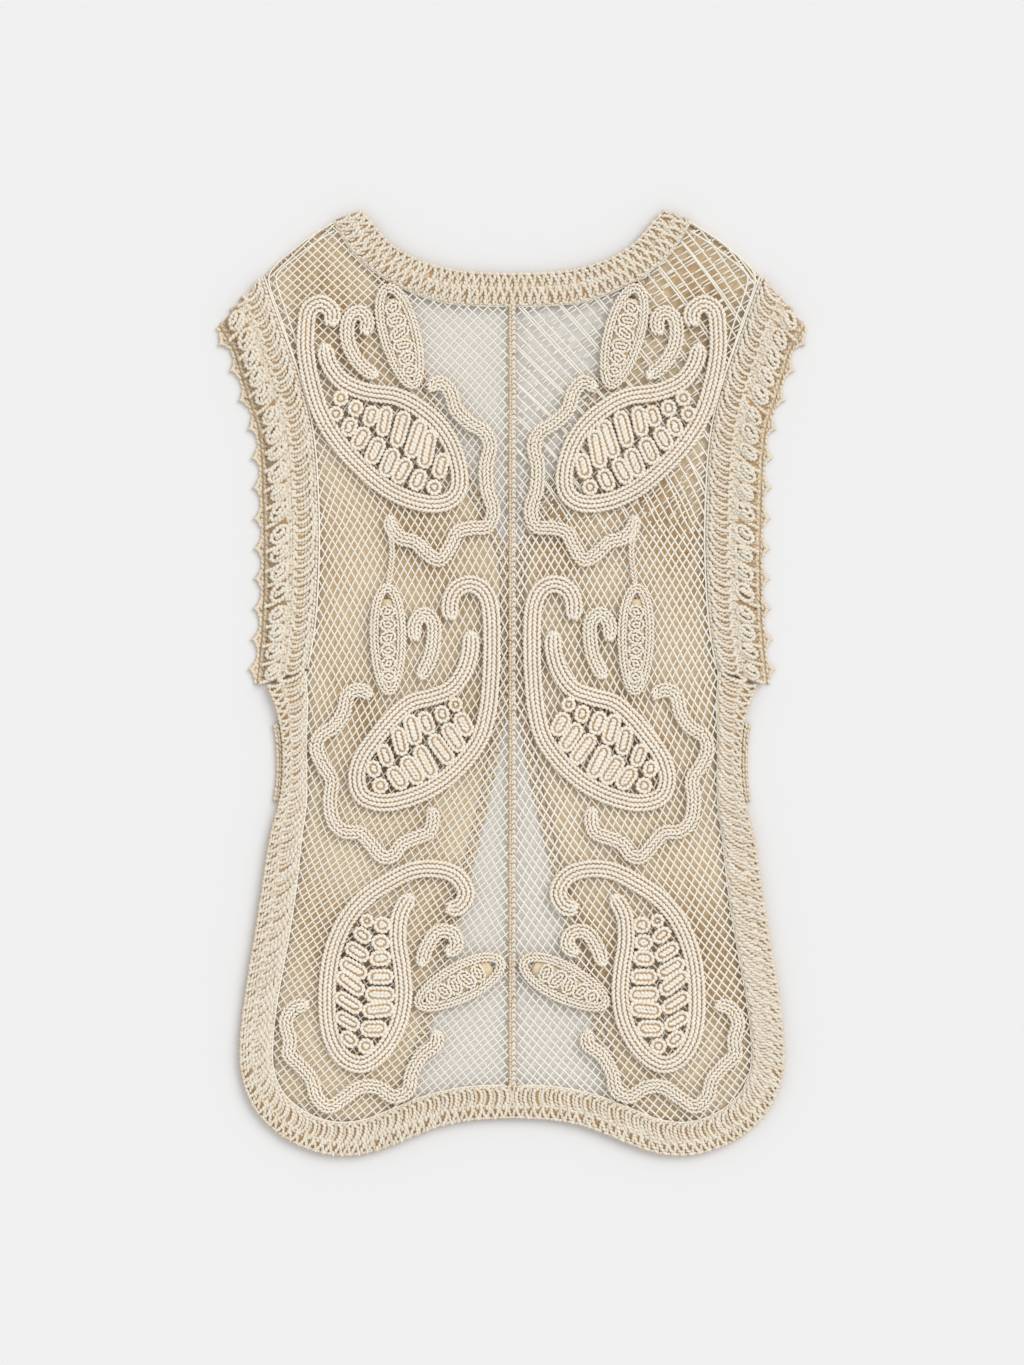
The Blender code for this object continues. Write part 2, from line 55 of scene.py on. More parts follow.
# The upper layer: its lowest height, its swells' height, its wall, and the small gap under what lies on it.
BACK_REST = 3.9
SWELL = 0.7
BACK_WALL = 1.3
SEAM = 0.3
# Widths of the bands and seams, the first from the middle to the seam's edge.
CENTRE_HALF = 2.5
EDGE_BAND = 8.5
SEAM_WIDE = 3.2
SIDE_WIDE = 5.7
PICOT_REACH = 7.2
PICOT_PITCH = 26.0
# Widths of the motifs' tapes.
POD_TAPE = 14.4
SCROLL_TAPE = 12.0
BUD_TAPE = 9.0
SCALLOP_TAPE = 12.0
# The pods' winding cord: its solid's width and legs, then its loops' pitch and width, and the gap beside the tape.
CORD = 6.6
LEG_NEAR = 7.2
FINGER_PITCH = 14.8
FINGER_CORD = 8.4
ROOM = 0.9
# The buds' winding cord: its loops' radius and width.
COIL_RADIUS = 3.2
COIL_CORD = 6.2
# Places along a band's edges at which its width is taken, and points on a bud's outline.
STATIONS = 240
BUD_POINTS = 60
FULL_TURN = 2 * math.pi
# The yarn's shader: the scales of its fibre and its patches, how far the fibre shifts the stand, and the ranges of
# stand over which the painted-shade colour turns into the middle one, itself partly painted shade, and that into
# the crest's.
FIBRE_SCALE = 900.0
PATCH_SCALE = 22.0
FIBRE_SHIFT = 0.35
PAINTED_SHADE_RANGE = (0.0, 0.4)
CREST_RANGE = (0.32, 0.85)
PATCH_TONE = (0.94, 1.04)

# Outer edge of the side and hem border, from the underarm to the middle of the hem: x, y, border width.
BORDER = [
    (209, -2, 35), (201, -22, 27), (196, -45, 20), (195, -74, 19), (198, -100, 22), (206, -128, 26),
    (213, -172, 28), (219, -211, 28), (228, -267, 27), (232, -308, 27), (230, -335, 27), (220, -360, 27),
    (204, -378, 27), (184, -391, 27), (161, -399, 27), (138, -401, 27.5), (115, -397, 27.5), (92, -388, 27.5),
    (64, -377, 27.5), (36, -371, 27.5), (0, -369, 27.5),
]
# Armhole band, from the shoulder down: outer x, outer y, inner x, inner y.
ARMHOLE = [
    (246, 306, 212, 346.5), (233, 285, 200, 312), (226, 262, 189, 282), (219, 240, 179.5, 254),
    (212, 217, 172, 225), (209, 190, 168, 196), (208, 160, 166, 163), (207, 125, 165, 126),
    (207, 90, 166, 90), (208, 58, 168, 58), (210, 30, 171, 36), (213, -1, 175.2, 13.5),
]
# Neck band, from the middle to the shoulder: upper x, upper y, lower x, lower y.
NECK = [
    (0, 350, 0, 322.5), (30, 350.8, 30, 323.5), (52, 353.5, 60, 326.5), (80, 361.7, 88, 336),
    (103, 375, 112, 349), (117, 391, 134, 368), (128, 402.5, 151, 394.5),
]
# Shoulder edge between the neck band and the armhole band: x, y.
SHOULDER = [(151, 394.5), (173.4, 380.4), (188.7, 368.5), (200.6, 358.3), (212, 346.5)]
# Front opening: y, distance of the front's edge from the middle.
OPENING = [
    (399, 126), (352, 108), (300, 88), (250, 66), (200, 44), (152, 22), (118, 6), (95, 1.6), (45, 1.6),
    (2, 1.6), (-25, 5), (-80, 15), (-140, 29), (-200, 44), (-260, 60), (-320, 77), (-384, 94),
]


class Half(Enum):
    """A half of the vest, as its sign on X."""

    RIGHT = 1.0
    LEFT = -1.0

    @property
    def tag(self) -> str:
        """The half's word in a node's name."""
        return self.name.lower()


class Stitch(Enum):
    """The crochet stitches that the bands are worked in."""

    POPCORN = "popcorn"
    ZIGZAG = "zigzag"
    ARC = "arc"
    POST = "post"
    FORK = "fork"
    CHAIN = "chain"
    RIDGE = "ridge"


def linear(r: float, g: float, b: float) -> tuple[float, float, float, float]:
    """Turns a screen colour into a linear one.

    Args:
        r, g, b: Its channels, from 0 to 255.

    Returns:
        The linear red, green and blue, and an alpha of 1.
    """
    out = []
    for c in (r, g, b):
        c /= 255.0
        out.append(c / 12.92 if c <= 0.04045 else ((c + 0.055) / 1.055) ** 2.4)
    return (out[0], out[1], out[2], 1.0)


def smooth(points: Line, per: int = 8) -> np.ndarray:
    """Draws a Catmull-Rom curve through points.

    Args:
        points: The points that it passes.
        per: Steps between each two of them.

    Returns:
        The curve's points, a row each.
    """
    p = np.array(points, float)
    out = []
    for i in range(len(p) - 1):
        before = p[i - 1] if i > 0 else 2 * p[i] - p[i + 1]
        after = p[i + 2] if i + 2 < len(p) else 2 * p[i + 1] - p[i]
        for k in range(per):
            t = k / per
            bend = (2 * before - 5 * p[i] + 4 * p[i + 1] - after) * t * t
            turn = (3 * p[i] - before - 3 * p[i + 1] + after) * t ** 3
            out.append(0.5 * (2 * p[i] + (p[i + 1] - before) * t + bend + turn))
    out.append(p[-1])
    return np.array(out)


def lengths(line: np.ndarray) -> np.ndarray:
    """Returns the distance along the line at each of its points."""
    return np.concatenate([[0.0], np.cumsum(np.linalg.norm(np.diff(line, axis=0), axis=1))])


def at_distance(line: np.ndarray, want: np.ndarray) -> np.ndarray:
    """Returns the line's points at the wanted distances along it."""
    far = lengths(line)
    return np.stack([np.interp(want, far, line[:, k]) for k in range(line.shape[1])], axis=1)


def spread(line: Line, count: int, start: float = 0.0, end: float = 1.0) -> np.ndarray:
    """Returns `count` points at even distances between two shares of the line's length."""
    line = np.asarray(line, float)
    return at_distance(line, np.linspace(start, end, count) * lengths(line)[-1])


def by_step(line: Line, step: float) -> np.ndarray:
    """Returns the line with points about `step` apart."""
    line = np.asarray(line, float)
    return spread(line, max(3, int(round(lengths(line)[-1] / step)) + 1))


def normals(line: np.ndarray, closed: bool = False) -> np.ndarray:
    """Returns the unit vector to the left of the way along, at each point."""
    way = np.roll(line, -1, axis=0) - np.roll(line, 1, axis=0) if closed else np.gradient(line, axis=0)
    way = way / np.linalg.norm(way, axis=1)[:, None]
    return np.stack([-way[:, 1], way[:, 0]], axis=1)


def lie(x: np.ndarray, y: np.ndarray) -> np.ndarray:
    """Returns the height at which the upper layer lies, with soft uneven swells."""
    first = np.sin(x / 61.0 + y / 97.0 + 0.6)
    second = np.sin(x / 83.0 - y / 71.0 + 2.1)
    return BACK_REST + SWELL * (0.5 + 0.25 * first + 0.25 * second)


def on_floor(x: np.ndarray, y: np.ndarray) -> np.ndarray:
    """Returns the height of the surface that the fronts lie on."""
    return np.zeros_like(np.asarray(x, float))


def on_panel(x: np.ndarray, y: np.ndarray) -> np.ndarray:
    """Returns the height just above the back panel."""
    return lie(x, y) + BACK_WALL + SEAM


def border_edges() -> tuple[np.ndarray, np.ndarray]:
    """Draws the border's edges on the right half.

    Returns:
        Its outer and inner edge, from the underarm to the middle of the hem.
    """
    outer = smooth([(x, y) for x, y, _ in BORDER])
    width = smooth([(w, 0.0) for _, _, w in BORDER])[:, 0]
    side = -normals(outer)
    side[-1] = (0.0, 1.0)
    inner = outer + side * width[:, None]
    inner[-1, 0] = 0.0
    return outer, inner


def armhole_edges() -> tuple[np.ndarray, np.ndarray]:
    """Returns the armhole band's outer and inner edge on the right half."""
    return smooth([(x, y) for x, y, _, _ in ARMHOLE]), smooth([(x, y) for _, _, x, y in ARMHOLE])


def neck_edges() -> tuple[np.ndarray, np.ndarray]:
    """Returns the neck band's upper and lower edge on the right half."""
    return smooth([(x, y) for x, y, _, _ in NECK]), smooth([(x, y) for _, _, x, y in NECK])


def opening_edge() -> np.ndarray:
    """Returns the front's edge along the opening on the right half."""
    return smooth([(x, y) for y, x in OPENING])


def inside(polygon: np.ndarray, points: np.ndarray) -> np.ndarray:
    """Tells which points are inside a closed outline.

    Args:
        polygon: The outline's corners in order.
        points: The points to test.

    Returns:
        A true or false value for each point.
    """
    x, y = points[:, 0], points[:, 1]
    found = np.zeros(len(points), bool)
    for a, b in zip(polygon, np.roll(polygon, -1, axis=0)):
        if a[1] == b[1]:
            continue
        crosses = (a[1] > y) != (b[1] > y)
        found ^= crosses & (x < (b[0] - a[0]) * (y - a[1]) / (b[1] - a[1]) + a[0])
    return found


@dataclass(frozen=True)
class YarnFinish:
    """A yarn's look: a painted-shade colour, a middle colour that is partly painted shade, and the yarn's own crest
    colour, which follow how far a loop stands out, and its fibre.
    """

    name: str
    deep: tuple[float, float, float]
    middle: tuple[float, float, float]
    crest: tuple[float, float, float]
    slot: str
    roughness: float = 0.86
    grain: float = 0.35
    sheen: float = 0.25

    def material(self) -> bpy.types.Material:
        """Builds the yarn's material, once.

        Returns:
            The material.
        """
        made = bpy.data.materials.get(self.name)
        if made:
            return made
        made = bpy.data.materials.new(self.name)
        made.use_nodes = True
        nodes, links = made.node_tree.nodes, made.node_tree.links
        shader = nodes["Principled BSDF"]
        shader.inputs["Roughness"].default_value = self.roughness
        shader.inputs["Sheen Weight"].default_value = self.sheen
        shader.inputs["Sheen Roughness"].default_value = 0.6
        shader.inputs["Specular IOR Level"].default_value = 0.22
        depth = nodes.new("ShaderNodeAttribute")
        depth.attribute_name = "crest"
        coords = nodes.new("ShaderNodeTexCoord")
        fibre = nodes.new("ShaderNodeGroup")
        fibre.node_tree = fibre_group()
        fibre.inputs["Deep"].default_value = linear(*self.deep)
        fibre.inputs["Middle"].default_value = linear(*self.middle)
        fibre.inputs["Crest"].default_value = linear(*self.crest)
        links.new(coords.outputs["Object"], fibre.inputs["Place"])
        links.new(depth.outputs["Fac"], fibre.inputs["Stand"])
        bump = nodes.new("ShaderNodeBump")
        bump.inputs["Strength"].default_value = self.grain
        bump.inputs["Distance"].default_value = 0.0004
        links.new(fibre.outputs["Colour"], shader.inputs["Base Color"])
        links.new(fibre.outputs["Height"], bump.inputs["Height"])
        links.new(bump.outputs["Normal"], shader.inputs["Normal"])
        return made


def noise(tree: bpy.types.NodeTree, place: bpy.types.NodeSocket, scale: float, detail: float) -> bpy.types.NodeSocket:
    """Adds a noise to a node tree.

    Args:
        tree: The tree.
        place: The place at which it is taken.
        scale, detail: The noise's own scale and detail.

    Returns:
        Its value.
    """
    made = tree.nodes.new("ShaderNodeTexNoise")
    made.inputs["Scale"].default_value = scale
    made.inputs["Detail"].default_value = detail
    tree.links.new(place, made.inputs["Vector"])
    return made.outputs["Fac"]


def maths(tree: bpy.types.NodeTree, kind: str, *values: bpy.types.NodeSocket | float) -> bpy.types.NodeSocket:
    """Adds a sum to a node tree.

    Args:
        tree: The tree.
        kind: The sum's kind.
        values: What it is worked out from, as other nodes' values or as numbers.

    Returns:
        Its result.
    """
    made = tree.nodes.new("ShaderNodeMath")
    made.operation = kind
    for place, value in zip(made.inputs, values):
        if isinstance(value, float):
            place.default_value = value
        else:
            tree.links.new(value, place)
    return made.outputs[0]


def mapped(tree: bpy.types.NodeTree, value: bpy.types.NodeSocket, span: tuple[float, float] = (0.0, 1.0),
           to: tuple[float, float] = (0.0, 1.0)) -> bpy.types.NodeSocket:
    """Maps a range of a value to another range, in a node tree.

    Args:
        tree: The tree.
        value: The value.
        span: The range that it is taken from.
        to: The range that it is mapped to.

    Returns:
        The mapped value.
    """
    made = tree.nodes.new("ShaderNodeMapRange")
    made.inputs["From Min"].default_value, made.inputs["From Max"].default_value = span
    made.inputs["To Min"].default_value, made.inputs["To Max"].default_value = to
    tree.links.new(value, made.inputs["Value"])
    return made.outputs["Result"]


def blend(tree: bpy.types.NodeTree, share: bpy.types.NodeSocket | None, first: bpy.types.NodeSocket,
          second: bpy.types.NodeSocket, kind: str = "MIX") -> bpy.types.NodeSocket:
    """Blends two colours in a node tree.

    Args:
        tree: The tree.
        share: The second colour's share, or None for all of it.
        first, second: The colours.
        kind: How they are blended.

    Returns:
        The blended colour.
    """
    made = tree.nodes.new("ShaderNodeMix")
    made.data_type = "RGBA"
    made.blend_type = kind
    if share is None:
        made.inputs["Factor"].default_value = 1.0
    else:
        tree.links.new(share, made.inputs["Factor"])
    tree.links.new(first, made.inputs["A"])
    tree.links.new(second, made.inputs["B"])
    return made.outputs["Result"]


def fibre_group() -> bpy.types.NodeTree:
    """Builds the node group that colours yarn by its stand, painting shade where the stand is low, and gives it fibre,
    once.

    Returns:
        The group. It puts out the yarn's colour and the fibre's height.
    """
    made = bpy.data.node_groups.get("yarn_fibre")
    if made:
        return made
    made = bpy.data.node_groups.new("yarn_fibre", "ShaderNodeTree")
    face = made.interface
    face.new_socket("Place", in_out="INPUT", socket_type="NodeSocketVector")
    face.new_socket("Stand", in_out="INPUT", socket_type="NodeSocketFloat")
    for name in ("Deep", "Middle", "Crest"):
        face.new_socket(name, in_out="INPUT", socket_type="NodeSocketColor")
    face.new_socket("Colour", in_out="OUTPUT", socket_type="NodeSocketColor")
    face.new_socket("Height", in_out="OUTPUT", socket_type="NodeSocketFloat")
    enter, leave = made.nodes.new("NodeGroupInput"), made.nodes.new("NodeGroupOutput")
    fluff = noise(made, enter.outputs["Place"], FIBRE_SCALE, 3.0)
    patch = noise(made, enter.outputs["Place"], PATCH_SCALE, 2.0)
    lower = maths(made, "SUBTRACT", enter.outputs["Stand"], FIBRE_SHIFT / 2)
    stand = maths(made, "MULTIPLY_ADD", fluff, FIBRE_SHIFT, lower)
    # The stand blends the painted-shade colour into the middle one and that into the yarn's own crest colour.
    colour = blend(made, mapped(made, stand, PAINTED_SHADE_RANGE), enter.outputs["Deep"], enter.outputs["Middle"])
    colour = blend(made, mapped(made, stand, CREST_RANGE), colour, enter.outputs["Crest"])
    colour = blend(made, None, colour, mapped(made, patch, to=PATCH_TONE), "MULTIPLY")
    made.links.new(colour, leave.inputs["Colour"])
    made.links.new(fluff, leave.inputs["Height"])
    return made


# Each yarn's first colour is painted shade and its middle one partly painted shade; its crest colour is the yarn's
# own.
TAPE_YARN = YarnFinish("knit_tape", (202, 164, 118), (236, 215, 179), (249, 245, 235), "tape_yarn")
BAND_YARN = YarnFinish("crochet_band", (172, 132, 88), (211, 184, 141), (242, 236, 222), "band_yarn")
NET_YARN = YarnFinish("net_strand", (208, 178, 130), (238, 222, 188), (253, 249, 238), "back_net", grain=0.2)
# The under band's yarn is a darker, tanner copy of the band yarn: painted shade for the front's bands under the back.
SHADE_YARN = YarnFinish("under_band_painted_shade", (184, 148, 106), (218, 195, 160), (241, 229, 206), "front_band_yarn")
# The front cloth's tan is painted shade: the fronts' cream yarn as it lies under the back.
SHADED_FRONT_CLOTH = YarnFinish("front_cloth_painted_shade", (194, 162, 118), (222, 198, 160), (237, 220, 189), "front_net", grain=0.7)


def take_over(name: str, points: np.ndarray, faces: np.ndarray, crest: np.ndarray, finish: YarnFinish,
              nodes: list[str]) -> bpy.types.Object:
    """Makes a piece from arrays, gives it its finish and lets it stand for its solids.

    Args:
        name: The piece's name.
        points: Its points in millimetres, in the tables' own frame.
        faces: Its triangles, a row each.
        crest: How far each point stands out, from 0 to 1; low values are painted in shade.
        finish: Its yarn.
        nodes: The solids that it stands for.

    Returns:
        The piece.
    """
    moved = np.array(points, np.float32)
    moved[:, 1] -= CENTRE_Y
    moved *= MM
    mesh = bpy.data.meshes.new(name)
    count = len(faces)
    mesh.vertices.add(len(moved))
    mesh.vertices.foreach_set("co", moved.ravel())
    mesh.loops.add(count * 3)
    mesh.loops.foreach_set("vertex_index", faces.astype(np.int32).ravel())
    mesh.polygons.add(count)
    mesh.polygons.foreach_set("loop_start", np.arange(0, count * 3, 3, dtype=np.int32))
    mesh.update(calc_edges=True)
    mesh.attributes.new("crest", "FLOAT", "POINT").data.foreach_set("value", np.asarray(crest, np.float32))
    mesh.polygons.foreach_set("use_smooth", np.full(len(mesh.polygons), True))
    mesh.validate()
    piece = bpy.data.objects.new(name, mesh)
    bpy.context.scene.collection.objects.link(piece)
    mesh.materials.append(finish.material())
    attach(piece, "root")
    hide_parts(*nodes)
    LOG.info("%s: %d faces", name, len(mesh.polygons))
    return piece


@dataclass
class LoopKit:
    """One loop of yarn, shaped once, and the arrays that copy it along a fabric."""

    segments: int = 5
    rings: int = 4
    blunt: float = 1.22
    points: np.ndarray = field(init=False)
    faces: np.ndarray = field(init=False)

    def __post_init__(self) -> None:
        """Shapes the loop from a sphere: its rings are widened so that its ends are blunt."""
        bpy.ops.object.select_all(action="DESELECT")
        bpy.ops.mesh.primitive_uv_sphere_add(segments=self.segments, ring_count=self.rings, radius=0.5)
        thing = bpy.context.object
        thing.rotation_euler.z = math.radians(18.0)
        bpy.ops.object.transform_apply(location=False, rotation=True, scale=False)
        mesh = thing.data
        bpy.ops.object.mode_set(mode="EDIT")
        bpy.ops.mesh.select_all(action="DESELECT")
        bpy.ops.object.mode_set(mode="OBJECT")
        for vertex in mesh.vertices:
            vertex.select = 0.05 < abs(vertex.co.z) < 0.45
        bpy.ops.object.mode_set(mode="EDIT")
        bpy.ops.transform.resize(value=(self.blunt, self.blunt, 1.0), center_override=(0.0, 0.0, 0.0))
        bpy.ops.mesh.select_all(action="SELECT")
        bpy.ops.mesh.quads_convert_to_tris()
        bpy.ops.object.mode_set(mode="OBJECT")
        raw = np.array([v.co[:] for v in mesh.vertices])
        self.points = np.stack([raw[:, 2], raw[:, 0], raw[:, 1]], axis=1)
        self.faces = np.array([p.vertices[:] for p in mesh.polygons])
        bpy.data.objects.remove(thing, do_unlink=True)
        bpy.data.meshes.remove(mesh)


@dataclass
class LoopBatch:
    """Loops of one piece, gathered as arrays and joined into one mesh."""

    kit: LoopKit
    rows: list[np.ndarray] = field(default_factory=list)

    def add(self, at: np.ndarray, way: np.ndarray, height: np.ndarray, long: float, wide: float, thick: float,
            turn: float | np.ndarray = 0.0, arch: float = 0.0, stand: float | np.ndarray = 1.0) -> None:
        """Adds a loop at each place.

        Args:
            at: The loops' middles on the plan, a row each.
            way: The unit vector along the fabric at each.
            height: The height of each loop's middle.
            long, wide, thick: A loop's length, width and thickness.
            turn: How far it turns to the left of the way, in radians.
            arch: How far its middle rises over its ends.
            stand: How far the loop stands out, from 0 to 1; low values are painted in shade.
        """
        n = len(at)
        one = np.ones(n)
        self.rows.append(np.column_stack([
            at, way, height * one, long * one, wide * one, thick * one, turn * one, arch * one, stand * one,
        ]))

    def rope(self, paths: np.ndarray, height: np.ndarray, thick: float, stand: np.ndarray,
             rng: np.random.Generator, twist: float = 0.5, lobe: float = 1.5, squash: float = 0.82) -> None:
        """Lays a twisted rope along each of many paths of evenly spaced points.

        Args:
            paths: The paths on the plan, as an array of paths, points and x, y.
            height: The height of each point.
            thick: The rope's thickness.
            stand: How far each rope stands out, from 0 to 1.
            rng: The source of its unevenness.
            twist: How far a lobe turns from the rope's own way.
            lobe: A lobe's length over the distance between the points.
            squash: A lobe's height over its width.
        """
        way = np.gradient(paths, axis=1)
        step = np.linalg.norm(way, axis=2)
        way = way / step[..., None]
        many = paths.shape[0] * paths.shape[1]
        stand = (np.asarray(stand) * np.ones(paths.shape[:2]).T).T.reshape(-1)
        self.add(paths.reshape(-1, 2) + rng.normal(0, 0.10, (many, 2)), way.reshape(-1, 2),
                 height.reshape(-1) + rng.normal(0, 0.12, many), step.reshape(-1) * lobe + 0.5,
                 thick * rng.uniform(0.92, 1.08, many), thick * squash, turn=twist + rng.normal(0, 0.08, many),
                 stand=stand + rng.normal(0, 0.05, many))

    def arrays(self) -> MeshArrays:
        """Joins the loops.

        Returns:
            Their points, triangles and stand.
        """
        d = np.vstack(self.rows)
        t = self.kit.points
        n, m = len(d), len(t)
        u, v, w = t[:, 0][None], t[:, 1][None], t[:, 2][None]
        col = [d[:, k][:, None] for k in range(d.shape[1])]
        x0, y0, wx, wy, z0, long, wide, thick, turn, arch, stand = col
        c, s = np.cos(turn), np.sin(turn)
        ax, ay = wx * c - wy * s, wx * s + wy * c
        crown = 1.0 - 4.0 * u * u
        side = v * wide
        px = x0 + ax * u * long - ay * side
        py = y0 + ay * u * long + ax * side
        pz = z0 + w * thick + arch * crown
        points = np.stack([px, py, pz], axis=2).reshape(-1, 3)
        faces = (np.arange(n)[:, None, None] * m + self.kit.faces[None]).reshape(-1, 3)
        # Painted shade on each loop: its lower half and its ends, which tuck under its neighbours, get less stand and
        # so darker colours than its top.
        rise = np.clip(0.5 + w, 0.0, 1.0) ** 1.5
        ends = 1.0 - 0.45 * np.clip(np.abs(u) * 2.0 - 0.5, 0.0, 1.0)
        crest = np.clip(rise * ends * stand, 0.0, 1.0).reshape(-1)
        return points, faces, crest


def join_arrays(parts: list[MeshArrays]) -> MeshArrays:
    """Joins several meshes' arrays into one.

    Args:
        parts: The points, triangles and stand of each.

    Returns:
        The points, triangles and stand of all.
    """
    points, faces, crest, base = [], [], [], 0
    for p, f, c in parts:
        points.append(p)
        faces.append(np.asarray(f) + base)
        crest.append(c)
        base += len(p)
    return np.vstack(points), np.vstack(faces), np.concatenate(crest)


def strip(left: np.ndarray, right: np.ndarray, height: HeightAt, low: float, rise: float, stand: float,
          closed: bool = False, crown: float = 0.0) -> MeshArrays:
    """Makes the closed ground under a row of loops, which a low stand paints in shade.

    Args:
        left, right: Its two edges, which go the same way.
        height: The surface that it lies on.
        low, rise: The heights of its underside and of its edges over that surface.
        stand: How far it stands out, from 0 to 1; low values are painted in shade.
        closed: Whether its last section joins its first.
        crown: How far its middle rises over its edges.

    Returns:
        Its points, triangles and stand.
    """
    middle = (left + right) / 2
    rings = []
    for line, level in ((left, low), (left, rise), (middle, rise + crown), (right, rise), (right, low)):
        rings.append(np.column_stack([line, height(line[:, 0], line[:, 1]) + level]))
    n, m = len(left), len(rings)
    points = np.stack(rings, axis=1).reshape(-1, 3)
    faces = []
    for i in range(n if closed else n - 1):
        j = (i + 1) % n
        for k in range(m):
            q = (k + 1) % m
            a, b, c, d = i * m + k, i * m + q, j * m + q, j * m + k
            faces += [(a, d, c), (a, c, b)]
    if not closed:
        for k in range(1, m - 1):
            faces.append((0, k, k + 1))
            base = (n - 1) * m
            faces.append((base, base + k + 1, base + k))
    return points, np.array(faces), np.full(len(points), stand)


@dataclass
class KnitTape:
    """A knitted tape: columns of slanted loops in pairs over a ground painted in shade, along a line on the back
    panel.

    Attributes:
        name: Its solid's name.
        wide, columns: Its width, and the columns of loops across it.
        line, closed: Its middle line, and whether that is a ring.
        pitch: The distance between loops along a column.
        low, dome: The height of its edge, and how far its middle rises over that.
        slant, cover: A loop's turn in radians, and its length over the pitch.
        seed: The number that its unevenness begins from.
        loop_high: A loop's height.
        round_end: The length over which an open end narrows.
        ground_in, ground_end: How far the ground under the loops keeps inside the tape's sides and ends.
    """

    name: str
    wide: float
    columns: int
    line: np.ndarray
    closed: bool = False
    pitch: float = 3.7
    low: float = 0.25
    dome: float = 1.3
    slant: float = 0.46
    cover: float = 1.62
    seed: int = 1
    loop_high: float = 2.7
    round_end: float = 7.0
    ground_in: float = 0.7
    ground_end: float = 2.2

    def arrays(self, kit: LoopKit) -> MeshArrays:
        """Works the tape.

        Args:
            kit: The loop that it is worked from.

        Returns:
            Its points, triangles and stand.
        """
        rng = np.random.default_rng(self.seed)
        line = np.vstack([self.line, self.line[:1]]) if self.closed else self.line
        fine = by_step(line, 1.0)
        if self.closed:
            away = normals(fine[:-1], True)
            away = np.vstack([away, away[:1]])
        else:
            away = normals(fine)
        far = lengths(fine)
        near_end = np.minimum(far, far[-1] - far)
        taper = np.ones(len(fine)) if self.closed else np.sqrt(np.clip((near_end + 0.6) / self.round_end, 0.1, 1.0))
        cell = self.wide / self.columns
        batch = LoopBatch(kit)
        for j in range(self.columns):
            offset = (j + 0.5 - self.columns / 2) * cell
            course = fine + away * (offset * taper)[:, None]
            count = max(3, int(round(lengths(course)[-1] / self.pitch)))
            share = (np.arange(count) + 0.5 + 0.25 * (j // 2 % 2)) / count
            s = np.clip(share * lengths(course)[-1] + rng.normal(0, 0.12, count), 0.5, lengths(course)[-1] - 0.5)
            at = at_distance(course, s) + rng.normal(0, 0.10, (count, 2))
            ahead = at_distance(course, s + 0.5) - at_distance(course, s - 0.5)
            way = ahead / np.linalg.norm(ahead, axis=1)[:, None]
            step = lengths(course)[-1] / count
            slant = self.slant if j % 2 == 0 else -self.slant
            out = abs(offset) / (self.wide / 2)
            level = on_panel(at[:, 0], at[:, 1]) + self.low + 0.95 + self.dome * (1 - out ** 2)
            # Loops further from the tape's middle get less stand: painted shade on the flanks of its dome.
            batch.add(at, way, level + rng.normal(0, 0.1, count), step * self.cover, cell * 0.82, self.loop_high,
                      turn=slant + rng.normal(0, 0.06, count), arch=0.15,
                      stand=1.02 - 0.12 * out + rng.normal(0, 0.05, count))
        if self.closed:
            ground_line, half = self.line, self.wide / 2 - self.ground_in
        else:
            total = lengths(self.line)[-1]
            cut = self.ground_end / total
            ground_line = spread(self.line, max(5, int(total / 3.0)), cut, 1.0 - cut)
            far = lengths(ground_line)
            near_end = np.minimum(far, far[-1] - far)
            half = np.sqrt(np.clip((near_end + 1.6) / self.round_end, 0.1, 1.0))[:, None]
            half = (self.wide / 2 - self.ground_in) * half
        side = normals(ground_line, self.closed)
        # The ground's stand of 0.10 paints it in shade: a dark sheet in the gaps between the loops.
        ground = strip(ground_line + side * half, ground_line - side * half, on_panel, 0.0, 0.9, 0.10,
                       self.closed, self.dome * 0.9)
        return join_arrays([batch.arrays(), ground])

    def build(self, kit: LoopKit) -> bpy.types.Object:
        """Makes the tape and lets it stand for its solid."""
        points, faces, crest = self.arrays(kit)
        return take_over(f"knit_{self.name}", points, faces, crest, TAPE_YARN, [self.name])


@dataclass
class CordLoops:
    """A winding cord drawn as its rounded loops side by side, each a flat ring of two columns.

    The rings are the loops' closed middle lines. The rim, if there is one, bounds a ground under them all, painted
    in shade. The other fields are as in KnitTape.
    """

    name: str
    rings: list[np.ndarray]
    wide: float
    columns: int = 2
    pitch: float = 3.4
    low: float = 0.25
    dome: float = 1.6
    seed: int = 1
    rim: np.ndarray | None = None

    def build(self, kit: LoopKit) -> bpy.types.Object:
        """Makes the loops.

        Args:
            kit: The loop that they are worked from.

        Returns:
            The piece.
        """
        parts = []
        for k, ring in enumerate(self.rings):
            tape = KnitTape(self.name, self.wide, self.columns, ring, True, self.pitch, self.low + 0.25 * (k % 2),
                            self.dome, seed=self.seed + 3 * k, cover=1.5)
            parts.append(tape.arrays(kit))
        if self.rim is not None:
            half = len(self.rim) // 2
            left, right = self.rim[3:half - 4], self.rim[half + 5:-2][::-1]
            # The ground's stand of 0.36 paints it in shade between the loops.
            parts.append(strip(left, right, on_panel, 0.1, 1.2, 0.36, crown=0.8))
        points, faces, crest = join_arrays(parts)
        return take_over(f"knit_{self.name}", points, faces, crest, TAPE_YARN, [self.name])


